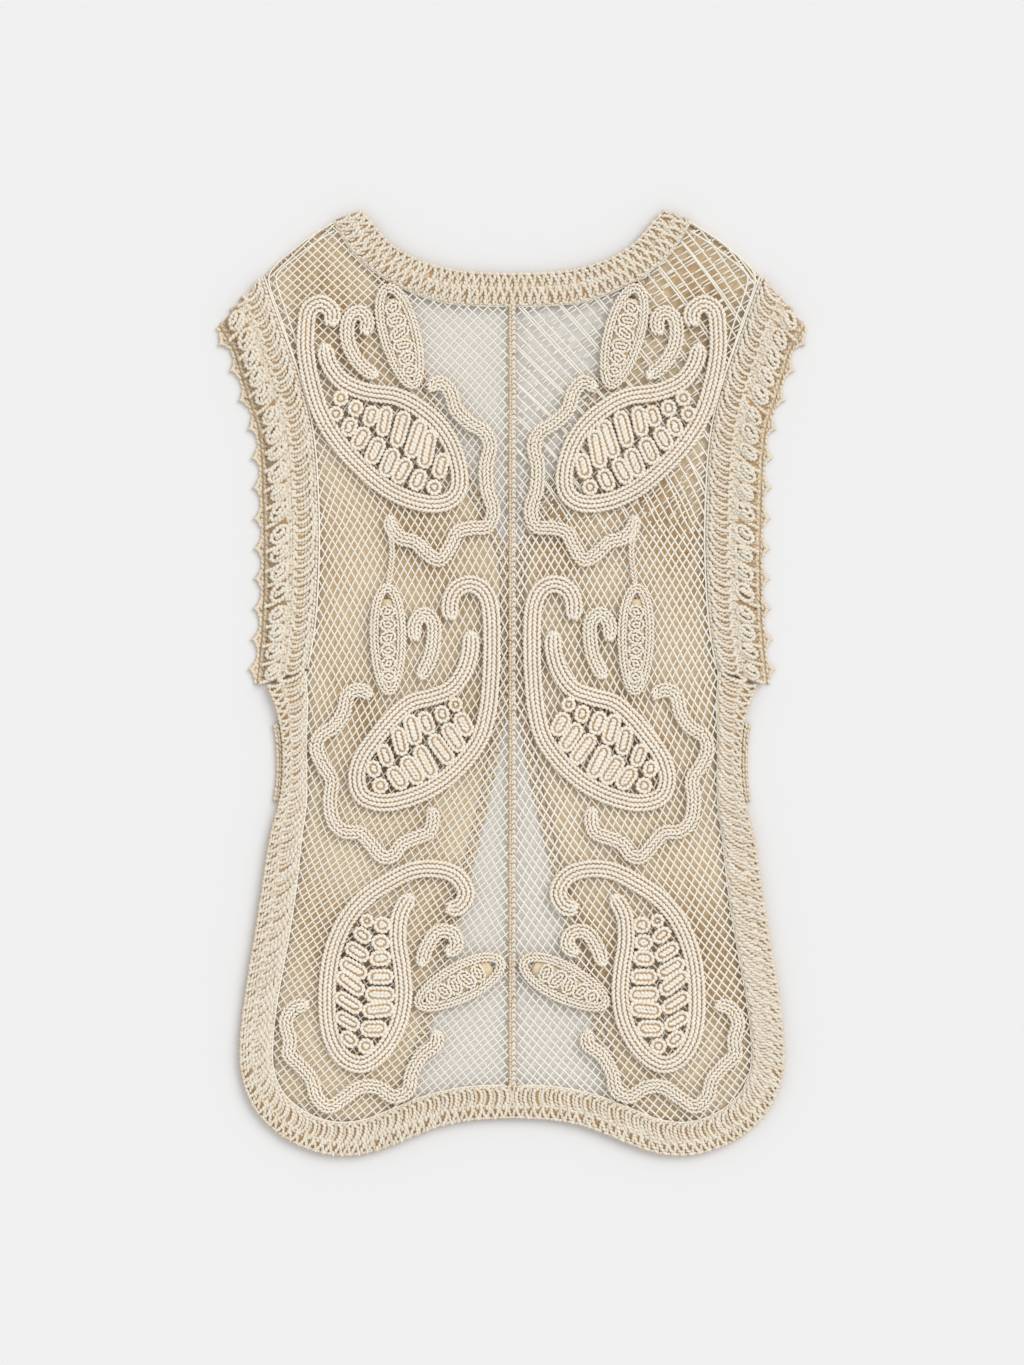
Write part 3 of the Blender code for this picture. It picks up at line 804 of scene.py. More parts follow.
def flat_ring(one: np.ndarray, other: np.ndarray, radius: float, step: float = 1.6) -> np.ndarray:
    """Draws the closed line that goes round two points at a distance.

    Args:
        one, other: The two points.
        radius: The distance.
        step: The distance between the line's points.

    Returns:
        The line's points, a row each.
    """
    way = other - one
    reach = float(np.linalg.norm(way))
    way = way / max(reach, 1e-6)
    side = np.array([-way[1], way[0]])
    turns = np.linspace(-math.pi / 2, math.pi / 2, 7)
    end = [other + radius * (math.cos(t) * way + math.sin(t) * side) for t in turns]
    begin = [one - radius * (math.cos(t) * way + math.sin(t) * side) for t in turns]
    line = np.array(end + begin)
    line = np.vstack([line, line[:1]])
    count = max(10, int(round(lengths(line)[-1] / step)))
    return spread(line, count + 1)[:-1]


@dataclass
class Motif:
    """A tape-lace motif on the right half: curled pod, winding filling, scroll, bud and scalloped tape.

    Attributes:
        tier: Its tier, as in its solids' names.
        pod, scroll, scallop: Points along the middle of each tape.
        bud: The bud's foot (x, y), its tip (x, y) and half its width.
        middle: The line between the filling's two rows, from the pod's tail (x, y) to its tip (x, y).
        lean: How far the filling's loops lean along that line for each step away from it, above it and below it.
        seed: The number that its tapes' unevenness begins from.
        stem: Points along the bud's stem, if it has one.
    """

    tier: str
    pod: list[tuple[float, float]]
    scroll: list[tuple[float, float]]
    scallop: list[tuple[float, float]]
    bud: tuple[float, float, float, float, float]
    middle: tuple[float, float, float, float]
    lean: tuple[float, float]
    seed: int = 10
    stem: list[tuple[float, float]] = field(default_factory=list)

    def fingers(self) -> list[np.ndarray]:
        """Draws the rounded loops of the cord that winds inside the pod, in two rows beside its middle line.

        Returns:
            The loops' closed centre lines. They reach from the middle line as far as the pod's tape lets them.
        """
        pod = by_step(smooth(self.pod), 2.0)
        tail, tip = np.array(self.middle[:2]), np.array(self.middle[2:])
        reach = np.linalg.norm(tip - tail)
        way = (tip - tail) / reach
        side = np.array([-way[1], way[0]])
        local = np.stack([(pod - tail) @ way, (pod - tail) @ side], axis=1)
        clear = POD_TAPE / 2 + ROOM + CORD / 2 - 0.2
        lean = self.lean
        radii = [(FINGER_PITCH * math.cos(math.atan(tilt)) - FINGER_CORD + 0.5) / 2 for tilt in lean]

        def room(x: float, up: bool) -> float:
            """Measures how far from the middle line a loop can reach.

            Args:
                x: The loop's near side, along the middle line.
                up: Whether it lies above the line.

            Returns:
                The reach in millimetres.
            """
            away = local[:, 1] * (1.0 if up else -1.0)
            along = local[:, 0] - (lean[0] if up else lean[1]) * away
            along, away = along[away > -1], away[away > -1]
            best = 1e3
            for at in (x, x + LEG_NEAR / 2, x + LEG_NEAR):
                near = np.abs(along - at) < clear
                if near.any():
                    best = min(best, float((away[near] - np.sqrt(clear ** 2 - (along[near] - at) ** 2)).min()))
            return best

        x = -2 * clear
        while min(room(x, True), room(x, False)) < 6.6 or max(room(x, True), room(x, False)) > 60:
            x += 0.5
        rings = []
        while x < reach + clear:
            up, down = room(x, True), room(x, False)
            if max(up, down) > 60 or min(up, down) < 1.5 or up + down < 13:
                break
            axis = x + LEG_NEAR / 2
            for far, tilt, sign, radius in ((up, lean[0], 1.0, radii[0]), (down, lean[1], -1.0, radii[1])):
                inner, outer = radius + FINGER_CORD / 2 - 0.9, far - radius * 0.45
                outer = max(outer, inner + 0.4)
                bent = tilt + 0.09 * math.sin(2.1 * len(rings) + self.seed)
                ends = [tail + (axis + bent * y) * way + sign * y * side for y in (inner, outer)]
                rings.append(flat_ring(ends[0], ends[1], radius + 0.25 * math.sin(3.7 * len(rings))))
            x += FINGER_PITCH
        return rings

    def bud_line(self, inset: float, count: int = BUD_POINTS) -> np.ndarray:
        """Draws a closed line along the bud.

        Args:
            inset: How far it lies inside the bud tape's centre line.
            count: Its points.

        Returns:
            The points, from the foot round by the tip.
        """
        foot, tip, half = np.array(self.bud[:2]), np.array(self.bud[2:4]), self.bud[4]
        reach = np.linalg.norm(tip - foot) / 2
        way = (tip - foot) / (2 * reach)
        side = np.array([-way[1], way[0]])
        angle = np.arange(count) * FULL_TURN / count
        x = reach - (reach - inset) * np.cos(angle)
        y = (half - inset) * np.sin(angle) * (0.97 - 0.11 * np.cos(angle))
        return foot + x[:, None] * way + y[:, None] * side

    def coils(self, radius: float = COIL_RADIUS, cord: float = COIL_CORD) -> list[np.ndarray]:
        """Draws the rounded loops of the thin cord that winds inside the bud.

        Args:
            radius: The distance of a loop's centre line from the loop's own middle.
            cord: The cord's width.

        Returns:
            The loops' closed centre lines, from the foot to the tip, each tilted against the last.
        """
        rim = self.bud_line(BUD_TAPE / 2 - 1.0, 2 * BUD_POINTS)
        foot, tip = rim[0], rim[BUD_POINTS]
        way = (tip - foot) / np.linalg.norm(tip - foot)
        side = np.array([-way[1], way[0]])
        length = float(np.linalg.norm(tip - foot))
        near = rim[:BUD_POINTS + 1] - foot
        ahead, wide = near @ way, np.abs(near @ side)
        rings, x, k = [], radius + cord / 2 + 1.5, 0
        while x < length - radius - cord / 2 - 1.0:
            reach = float(np.interp(x, ahead, wide)) - radius - cord / 2
            tilt = 0.45 if k % 2 else -0.1
            reach = max(reach + 0.6, 0.9)
            ends = [foot + (x + tilt * y) * way + y * side for y in (-reach, reach)]
            rings.append(flat_ring(ends[0], ends[1], radius, 1.3))
            x += 2 * radius + cord - 1.6
            k += 1
        return rings

    def build(self, kit: LoopKit, half: Half) -> list[bpy.types.Object]:
        """Makes the motif's pieces on one half.

        Args:
            kit: The loop that the tapes are worked from.
            half: The half that it lies on.

        Returns:
            The pieces.
        """
        tag = f"{self.tier}_{half.tag}"
        flip = np.array([half.value, 1.0])
        bud = [KnitTape("bud", BUD_TAPE - 0.6, 3, self.bud_line(-0.9) * flip, True, 3.4, seed=self.seed + 3)]
        if self.stem:
            bud.append(KnitTape("stem", 5.0, 2, smooth(self.stem) * flip, False, 3.4, dome=0.5, seed=self.seed + 6))
        bud = join_arrays([tape.arrays(kit) for tape in bud])
        return [
            KnitTape(f"pod_{tag}", POD_TAPE + 1.2, 4, smooth(self.pod) * flip, seed=self.seed).build(kit),
            CordLoops(f"filling_{tag}", [ring * flip for ring in self.fingers()], FINGER_CORD,
                      seed=self.seed + 1).build(kit),
            KnitTape(f"scroll_{tag}", SCROLL_TAPE + 1.0, 4, smooth(self.scroll) * flip, seed=self.seed + 2).build(kit),
            take_over(f"knit_bud_{tag}", *bud, TAPE_YARN, [f"bud_{tag}"]),
            CordLoops(f"bud_filling_{tag}", [ring * flip for ring in self.coils()], COIL_CORD, 2, 3.2, 0.9, 1.3,
                      seed=self.seed + 4, rim=self.bud_line(BUD_TAPE / 2 - 1.0) * flip).build(kit),
            KnitTape(f"scallop_{tag}", SCALLOP_TAPE + 0.6, 4, smooth(self.scallop) * flip,
                     seed=self.seed + 5).build(kit),
        ]


@dataclass(frozen=True)
class Strand:
    """A rope of one stitch.

    Attributes:
        course: Its points: shares of the pitch and of the row's width, and a lift in millimetres.
        thick: Its thickness.
        stand: How far it stands out, from 0 to 1; low values are painted in shade.
        lobe: The distance between its lobes.
        twist, cover: A lobe's turn in radians, and its length over that distance.
        wander: How uneven it is, as a share.
    """

    course: tuple[tuple[float, float, float], ...]
    thick: float
    stand: float = 1.0
    lobe: float = 3.0
    twist: float = 0.5
    cover: float = 1.5
    wander: float = 0.06


# Strands that lie lower in a stitch, under others, have less stand: painted shade.
STRANDS = {
    Stitch.POPCORN: (
        Strand(((-0.2, 0.5, 0.0), (0.5, 0.42, 0.0)), 3.2, 0.84, wander=0.14),
        Strand(((0.34, 0.0, 0.3), (0.25, 0.28, 0.3), (0.0, 0.4, 0.3), (-0.25, 0.28, 0.3), (-0.36, 0.0, 0.3),
                (-0.25, -0.30, 0.3), (0.0, -0.44, 0.3), (0.25, -0.28, 0.3), (0.33, -0.06, 0.3)), 4.3, wander=0.1),
        Strand(((-0.12, -0.26, 1.4), (-0.02, -0.04, 2.0), (-0.16, 0.14, 1.2)), 3.7, 1.02, wander=0.2),
        Strand(((0.15, -0.2, 1.2), (0.12, 0.04, 1.8), (0.04, 0.22, 1.1)), 3.6, 0.98, wander=0.2),
        Strand(((0.44, -0.68, -0.3), (0.5, -0.2, -0.2), (0.42, 0.36, -0.3)), 3.7, 0.9, wander=0.12),
    ),
    Stitch.ZIGZAG: (
        Strand(((-0.5, -0.55, 0.0), (0.0, 0.5, 0.5), (0.5, -0.55, 0.0)), 3.1, 0.98, 2.8),
        Strand(((-0.3, 0.6, -0.4), (0.1, -0.4, -0.4)), 2.6, 0.8, 2.8),
    ),
    Stitch.ARC: (
        Strand(((-0.62, -0.5, 0.2), (0.0, -0.40, 0.5), (0.3, -0.14, 0.6), (0.32, 0.12, 0.6), (0.05, 0.38, 0.5),
                (-0.55, 0.5, 0.2)), 3.6, wander=0.1),
        Strand(((-0.42, -0.24, -0.3), (-0.12, -0.02, -0.2), (-0.4, 0.22, -0.3)), 3.0, 0.84, wander=0.12),
    ),
    Stitch.POST: (
        Strand(((-0.42, -0.54, 0.2), (-0.08, -0.28, 0.4), (0.0, 0.05, 0.5), (-0.16, 0.36, 0.4),
                (-0.5, 0.5, 0.2)), 3.4, wander=0.1),
        Strand(((0.2, -0.5, -0.2), (0.38, -0.2, 0.1), (0.42, 0.12, 0.1), (0.22, 0.46, -0.2)), 2.9, 0.88, wander=0.1),
    ),
    Stitch.FORK: (
        Strand(((-0.4, -0.52, 0.3), (-0.16, -0.2, 0.4), (-0.04, 0.14, 0.4), (-0.1, 0.5, 0.2)), 3.2),
        Strand(((0.42, -0.5, 0.0), (0.3, -0.14, 0.3), (0.1, 0.16, 0.2)), 2.9, 0.94),
        Strand(((0.2, 0.5, -0.2), (0.5, 0.3, -0.2)), 2.6, 0.82),
    ),
    Stitch.CHAIN: (
        Strand(((-0.25, -0.2, 0.0), (0.25, -0.2, 0.0)), 2.3, 1.0, 6.0, 0.34, 1.05, 0.02),
        Strand(((-0.25, 0.2, 0.0), (0.25, 0.2, 0.0)), 2.3, 1.0, 6.0, -0.34, 1.05, 0.02),
    ),
    Stitch.RIDGE: (Strand(((-0.25, 0.0, 0.0), (0.25, 0.0, 0.0)), 3.0, 1.0, 4.0, 0.34, 1.1, 0.02),),
}


@dataclass
class BandRow:
    """One row of a crochet band.

    Attributes:
        start, end: The shares of the band's width between which it lies, from the outer edge.
        stitch, pitch: Its stitch, and the distance from one stitch to the next.
        stand: How far it stands out, from 0 to 1; low values are painted in shade.
        lift: How far it is raised over the other rows.
    """

    start: float
    end: float
    stitch: Stitch
    pitch: float
    stand: float = 1.0
    lift: float = 0.0


@dataclass
class CrochetBand:
    """A crochet band between two edges, worked in rows of stitches over a ground painted in shade."""

    name: str
    outer: np.ndarray
    inner: np.ndarray
    rows: list[BandRow]
    finish: YarnFinish
    height: HeightAt = lie
    thick: float = 4.2
    seed: int = 3

    def frame_at(self, count: int, share: float) -> tuple[np.ndarray, np.ndarray, np.ndarray, np.ndarray]:
        """Finds even steps along the band, at a share of its width.

        Args:
            count: The number of steps.
            share: The share, from its outer edge to its inner one.

        Returns:
            Their places, their unit vectors along and across the band, and the band's width at each.
        """
        a, b, marks = spread(self.outer, STATIONS), spread(self.inner, STATIONS), np.arange(STATIONS)
        line = a + (b - a) * share
        far = lengths(line)
        s = (np.arange(count) + 0.5) / count * far[-1]
        at = at_distance(line, s)
        index = np.interp(s, far, marks)
        over = b - a
        cross = np.stack([np.interp(index, marks, over[:, k]) for k in (0, 1)], axis=1)
        wide = np.linalg.norm(cross, axis=1)
        cross = cross / wide[:, None]
        way = np.gradient(line, axis=0)
        way = np.stack([np.interp(index, marks, way[:, k]) for k in (0, 1)], axis=1)
        way /= np.linalg.norm(way, axis=1)[:, None]
        return at, way, cross, wide

    def work(self, batch: LoopBatch, row: BandRow, rng: np.random.Generator) -> None:
        """Works one row of the band.

        Args:
            batch: The loops that it is added to.
            row: The row.
            rng: The source of its unevenness.
        """
        share = (row.start + row.end) / 2
        total = lengths(spread(self.outer, STATIONS) * (1 - share) + spread(self.inner, STATIONS) * share)[-1]
        count = max(3, int(round(total / row.pitch)))
        at, way, cross, wide = self.frame_at(count, share)
        wide = wide * (row.end - row.start)
        pitch = total / count
        top = self.height(at[:, 0], at[:, 1]) + self.thick * 0.5 + row.lift
        at = at + way * rng.normal(0, 0.05 * pitch, count)[:, None]
        for strand in STRANDS[row.stitch]:
            course = smooth(np.array(strand.course), 6)
            real = course[:, :2] * np.array([pitch, float(np.mean(wide))])
            far = lengths(real)
            steps = max(2, int(round(far[-1] / strand.lobe)) + 1)
            course = np.stack([np.interp(np.linspace(0, far[-1], steps), far, course[:, k]) for k in range(3)], axis=1)
            along = course[None, :, 0] * pitch * rng.normal(1.0, strand.wander, count)[:, None]
            over = course[None, :, 1] * wide[:, None] * rng.normal(1.0, strand.wander / 2, count)[:, None]
            shift = rng.normal(0, strand.wander * 2.5, (count, 1, 2))
            paths = at[:, None] + way[:, None] * along[..., None] + cross[:, None] * over[..., None] + shift
            level = top[:, None] + course[None, :, 2] + rng.normal(0, 0.15, count)[:, None]
            batch.rope(paths, level, strand.thick, row.stand * strand.stand * rng.normal(1.0, 0.04, count), rng,
                       strand.twist, strand.cover)

    def build(self, kit: LoopKit) -> bpy.types.Object:
        """Makes the band.

        Args:
            kit: The loop that it is worked from.

        Returns:
            The piece.
        """
        rng = np.random.default_rng(self.seed)
        batch = LoopBatch(kit)
        for row in self.rows:
            self.work(batch, row, rng)
        count = max(12, int(lengths(self.outer)[-1] / 6))
        a, b = spread(self.outer, count), spread(self.inner, count)
        # The ground's stand of 0.14 paints it in shade: a dark sheet between the rows.
        ground = strip(a + (b - a) * 0.05, a + (b - a) * 0.97, self.height, 0.0, self.thick * 0.42, 0.14,
                       crown=self.thick * 0.14)
        points, faces, crest = join_arrays([batch.arrays(), ground])
        return take_over(f"crochet_{self.name}", points, faces, crest, self.finish, [self.name])


@dataclass
class NetPanel:
    """One half of the back: two families of thin strands that cross, inside the half's outline.

    Attributes:
        half, strand: The half, and its strands' width.
        step, gap: The distance between a strand's points, and from one strand to the next.
        tuck: How far the outline goes under the bands.
        thick: The strands' thickness.
        seed: The number that its unevenness begins from.
        reach_y, numbers: The heights between which strands are drawn, and the strands' numbers in a family.
        rungs_from: The height over which the right half's crossing strands are short rungs.
    """

    half: Half
    strand: float
    step: float = 4.8
    gap: float = 6.6
    tuck: float = 2.0
    thick: float = 1.0
    seed: int = 21
    reach_y: tuple[float, float] = (-415, 410)
    numbers: tuple[int, int] = (-90, 120)
    rungs_from: float = 131

    def rim(self, inward: float) -> tuple[np.ndarray, np.ndarray, np.ndarray]:
        """Returns the lines beside the border's, the armhole band's and the neck band's inner edges.

        Args:
            inward: How far inside the panel they lie.

        Returns:
            The three lines, in order round the panel's right half.
        """
        _, border = border_edges()
        _, arm = armhole_edges()
        _, neck = neck_edges()
        border, neck = border[border[:, 0] > CENTRE_HALF][::-1], neck[neck[:, 0] > CENTRE_HALF][::-1]
        return (border + normals(border) * inward, (arm - normals(arm) * inward)[::-1],
                neck + normals(neck) * inward)

    def outline(self) -> np.ndarray:
        """Draws the panel's outline on the right half, a little under the bands.

        Returns:
            Its corners, in order.
        """
        hem_up, arm, neck = self.rim(-self.tuck)
        shoulder = smooth(SHOULDER, 4)[::-1]
        middle = CENTRE_HALF - self.tuck
        return np.vstack([[(middle, hem_up[0][1])], hem_up, arm, shoulder, neck, [(middle, neck[-1][1])]])

    def slope(self, y: np.ndarray, family: float) -> np.ndarray:
        """Returns how far a strand of a family has moved across at a height.

        Args:
            y: The heights.
            family: 1 for the long strands that rise to the middle, -1 for those that cross them.

        Returns:
            The distances. The slopes differ by half and height, steepest between the armholes.
        """
        at = [-420, -300, -180, -60, 90, 160, 230, 330]
        if self.half is Half.LEFT:
            angles = [40, 45, 46, 36, 28, 32, 36, 40] if family > 0 else [40, 32, 26, 28, 28, 32, 36, 40]
        else:
            angles = [44, 40, 36, 32, 32, 38, 42, 34] if family > 0 else [36, 30, 26, 26, 28, 34, 40, 46]
        ys = np.linspace(-420, 420, 400)
        moved = np.cumsum(np.tan(np.radians(np.interp(ys, at, angles)))) * (ys[1] - ys[0])
        return np.interp(y, ys, moved - moved[200])

    def swell(self, y: np.ndarray) -> np.ndarray:
        """Returns how far the net is opened at a height, against its middle."""
        if self.half is Half.LEFT:
            return np.interp(y, [-420, -180, 0, 140, 290], [1.22, 1.10, 0.93, 0.98, 1.26])
        return np.interp(y, [-420, -180, 0, 140, 240, 400], [1.22, 1.10, 0.93, 0.97, 1.18, 1.46])

    def sway(self, k: float | np.ndarray, ys: np.ndarray) -> np.ndarray:
        """Returns the long wave of the strands with a number, at each height."""
        return 2.4 * np.sin(ys / 118.0 + k * 0.11)

    def bow(self, ys: np.ndarray) -> np.ndarray:
        """Returns the slow wave that only the right half's long strands follow, at each height."""
        return 5.0 * np.sin(ys / 170.0 + 0.8)

    def line(self, k: int, ys: np.ndarray, family: float, phase: float = 0.0, shift: float = 0.0) -> np.ndarray:
        """Returns a strand's x at each height.

        Args:
            k: The strand's number in its family.
            ys: The heights.
            family: 1 or -1, as for slope.
            phase: Where its own small waves begin.
            shift: How far it lies from its even place, in millimetres.

        Returns:
            The strand's x values.
        """
        drift = 0.5 * np.sin(ys / 23.0 + phase) + self.sway(k, ys)
        if self.half is Half.RIGHT and family > 0:
            drift = drift + self.bow(ys)
        start = k * self.gap + shift
        if self.half is Half.RIGHT and family > 0:
            start = start + (0.0, 0.333, 0.667, -0.04)[k % 4] * self.gap * np.interp(ys, [110, 190], [0, 1])
        return (start - family * self.slope(ys, family) + 90.0) * self.swell(ys) + drift

    def rungs(self, k: int, rng: np.random.Generator) -> list[np.ndarray]:
        """Breaks one crossing strand above the armholes into short rungs, from each long strand to the next.

        Args:
            k: The strand's number in its family.
            rng: The half's random numbers.

        Returns:
            The rungs' lines.
        """
        ys = np.arange(128.0, 405.0, 1.4)
        x = self.line(k, ys, -1.0, rng.uniform(0, 6.28))
        here = (x > -12.0) & (x < 240.0)
        if here.sum() < 4:
            return []
        x, ys = x[here], ys[here]
        index = ((x - self.sway(0, ys) - self.bow(ys)) / self.swell(ys)
                 + self.slope(ys, 1.0) - 90.0) / self.gap
        for _ in range(2):
            index = index + (x - self.long_at(index, ys)) / (self.gap * self.swell(ys))
        cell = np.floor(index * 0.75).astype(int)
        cuts = np.concatenate([[0], np.flatnonzero(np.diff(cell)) + 1, [len(ys)]])
        out = []
        for first, last in zip(cuts[:-1], cuts[1:]):
            if last - first < 2:
                continue
            pick = np.unique(np.linspace(first, min(last, len(ys) - 1), 3).astype(int))
            slide = rng.normal(0, 1.5)
            out.append(np.stack([x[pick] - 0.75 * slide, ys[pick] + 0.75 * slide], axis=1))
        return out

    def long_at(self, index: np.ndarray, ys: np.ndarray) -> np.ndarray:
        """Returns the x of an even long strand with a fractional number, at each height."""
        drift = self.sway(index, ys) + self.bow(ys)
        return (index * self.gap - self.slope(ys, 1.0) + 90.0) * self.swell(ys) + drift

    def strands(self, rng: np.random.Generator) -> list[tuple[np.ndarray, float, float]]:
        """Draws the strands on the right half.

        Args:
            rng: The half's random numbers.

        Returns:
            Their lines, each with its height and width.
        """
        ys = np.arange(*self.reach_y, self.step)
        ladder = self.half is Half.RIGHT
        out = []
        for family in (1.0, -1.0):
            level = 0.95 if family > 0 else 0.55
            for k in range(*self.numbers):
                shift = rng.normal(0, 0.3)
                run = ys
                if ladder and family < 0:
                    run = ys[ys < self.rungs_from]
                    out += [(rung, level, self.strand * 0.9) for rung in self.rungs(k, rng)]
                x = self.line(k, run, family, rng.uniform(0, 6.28), shift)
                out.append((np.stack([x, run], axis=1), level, self.strand))
        corner = np.vstack([SHOULDER[:-1], [(208, 343), (197.5, 310), (188, 282), (179.5, 257), (172, 234)]])
        for k, inward in enumerate((1.2, 7.5)):
            line = by_step(smooth(corner - normals(corner) * inward), self.step)
            out.append((line[k:len(line) - 3 * k], 1.2, self.strand))
        return out + [(by_step(line, self.step), 1.2, 1.7) for line in self.rim(1.3)]

    def tube(self, run: np.ndarray, level: float, wide: float, rng: np.random.Generator) -> MeshArrays:
        """Makes one strand, a thin tube of four sides.

        Args:
            run: Its line on the right half.
            level: How high it lies.
            wide: Its width.
            rng: The half's random numbers.

        Returns:
            Its points, triangles and stand.
        """
        count, side = len(run), normals(run)
        z = lie(run[:, 0] * self.half.value, run[:, 1]) + level + rng.normal(0, 0.08, count)
        rings = []
        for across, up in ((0.5, 0.0), (0.0, 0.5), (-0.5, 0.0), (0.0, -0.5)):
            spot = run + side * across * wide
            rings.append(np.column_stack([spot[:, 0] * self.half.value, spot[:, 1], z + up * self.thick]))
        i = np.arange(count - 1)[:, None] * 4
        k = np.arange(4)[None]
        q = (k + 1) % 4
        a, b, c, d = i + k, i + q, i + 4 + q, i + 4 + k
        sides = np.stack([np.stack([a, b, c], 2), np.stack([a, c, d], 2)], axis=2).reshape(-1, 3)
        end = 4 * (count - 1)
        tri = np.vstack([sides, [(0, 3, 2), (0, 2, 1), (end, end + 1, end + 2), (end, end + 2, end + 3)]])
        if self.half is Half.LEFT:
            tri = tri[:, ::-1]
        # The strand's top is at full stand, its sides lower and its underside at 0.1: painted shade on its sides and
        # underside.
        return np.stack(rings, axis=1).reshape(-1, 3), tri, np.tile([0.62, 1.0, 0.62, 0.1], count)

    def build(self) -> tuple[bpy.types.Object, float]:
        """Makes the net.

        Returns:
            The piece, and the area of its cloth in square metres.
        """
        rng = np.random.default_rng(self.seed)
        outline = self.outline()
        tubes, surface = [], 0.0
        for line, level, wide in self.strands(rng):
            keep = inside(outline, line)
            edges = np.flatnonzero(np.diff(np.concatenate([[0], keep.astype(int), [0]])))
            for first, last in zip(edges[::2], edges[1::2]):
                run = line[first:last]
                if len(run) < 2:
                    continue
                tubes.append(self.tube(run, level, wide, rng))
                surface += lengths(run)[-1] * 2 * math.hypot(wide, self.thick)
        points, faces, crest = join_arrays(tubes)
        piece = take_over(f"net_back_{self.half.tag}", points, faces, crest, NET_YARN, [f"back_{self.half.tag}"])
        return piece, surface / 2 * MM * MM


# The strands' width by half.
STRAND_WIDE = {Half.LEFT: 1.45, Half.RIGHT: 1.62}


@dataclass
class FrontPanel:
    """One front under the back: a thin plain shell of fine knit on its solid's form, tan as painted shade."""

    half: Half
    wall: float = 1.5
    rows: int = 90
    columns: int = 26

    def grid(self) -> np.ndarray:
        """Spaces the panel's rows and columns evenly between its four edges.

        Returns:
            The places on the right half, by row and column.
        """
        opening = opening_edge() + normals(opening_edge()) * (EDGE_BAND + 0.6)
        _, border = border_edges()
        _, arm = armhole_edges()
        shoulder = smooth(SHOULDER, 4)
        side = np.vstack([border[:100][::-1], arm[::-1]])
        hem = border[100:][border[100:, 0] > 106.0][::-1]
        top = np.vstack([[(138.0, 396.5)], shoulder[2:]])
        low, high = hem[0][1], top[0][1]
        keep = opening[(opening[:, 1] > low + 4) & (opening[:, 1] < high - 6)]
        left = spread(np.vstack([[top[0]], keep, [hem[0]]])[::-1], self.rows)
        right = spread(side, self.rows)
        bottom, above = spread(hem, self.columns), spread(top, self.columns)
        right[0], right[-1] = bottom[-1], above[-1]
        u = np.linspace(0, 1, self.columns)[None, :, None]
        v = np.linspace(0, 1, self.rows)[:, None, None]
        grid = (1 - u) * left[:, None] + u * right[:, None] + (1 - v) * bottom[None] + v * above[None]
        grid = grid - (1 - u) * (1 - v) * bottom[0] - u * (1 - v) * bottom[-1] - (1 - u) * v * above[0]
        return grid - u * v * above[-1]

    def triangles(self) -> np.ndarray:
        """Joins the grid's upper points, and the lower ones after them, to a closed shell.

        Returns:
            Its triangles.
        """
        n = self.rows * self.columns
        quads = []
        for i in range(self.rows - 1):
            for k in range(self.columns - 1):
                a = i * self.columns + k
                quads.append((a, a + 1, a + self.columns + 1, a + self.columns))
        quads = np.array(quads)
        rim = list(range(self.columns))
        rim += [i * self.columns + self.columns - 1 for i in range(1, self.rows)]
        rim += [(self.rows - 1) * self.columns + k for k in range(self.columns - 2, -1, -1)]
        rim += [i * self.columns for i in range(self.rows - 2, 0, -1)]
        sides = [(a, b, b + n, a + n)[::-1] for a, b in zip(rim, rim[1:] + rim[:1])]
        faces = np.vstack([quads, (quads + n)[:, ::-1], np.array(sides)])
        if self.half is Half.LEFT:
            faces = faces[:, ::-1]
        return np.vstack([faces[:, [0, 1, 2]], faces[:, [0, 2, 3]]])

    def build(self) -> tuple[bpy.types.Object, float]:
        """Makes the panel.

        Returns:
            The piece, and its flat area in square metres.
        """
        grid = self.grid()
        flat = grid.reshape(-1, 2) * np.array([self.half.value, 1.0])
        x, y, n = flat[:, 0], flat[:, 1], len(flat)
        ripple = 0.10 * np.sin(x / 1.35) * np.sin(y / 1.6) + 0.12 * np.sin(x / 17 + y / 43) + 0.1 * np.sin(y / 29)
        upper = np.column_stack([flat, self.wall - 0.25 + ripple])
        points = np.vstack([upper, np.column_stack([flat, np.zeros(n)])])
        # The top's stand follows the ripple, darker in its dips and lighter on its rises: painted shade and light. The
        # underside stays low.
        crest = np.concatenate([0.55 + 2.0 * ripple, np.full(n, 0.4)])
        d1 = grid[1:, 1:] - grid[:-1, :-1]
        d2 = grid[1:, :-1] - grid[:-1, 1:]
        area = float(np.abs(d1[..., 0] * d2[..., 1] - d1[..., 1] * d2[..., 0]).sum() / 2) * MM * MM
        piece = take_over(f"cloth_front_{self.half.tag}", points, self.triangles(), crest, SHADED_FRONT_CLOTH,
                          [f"front_{self.half.tag}"])
        return piece, area


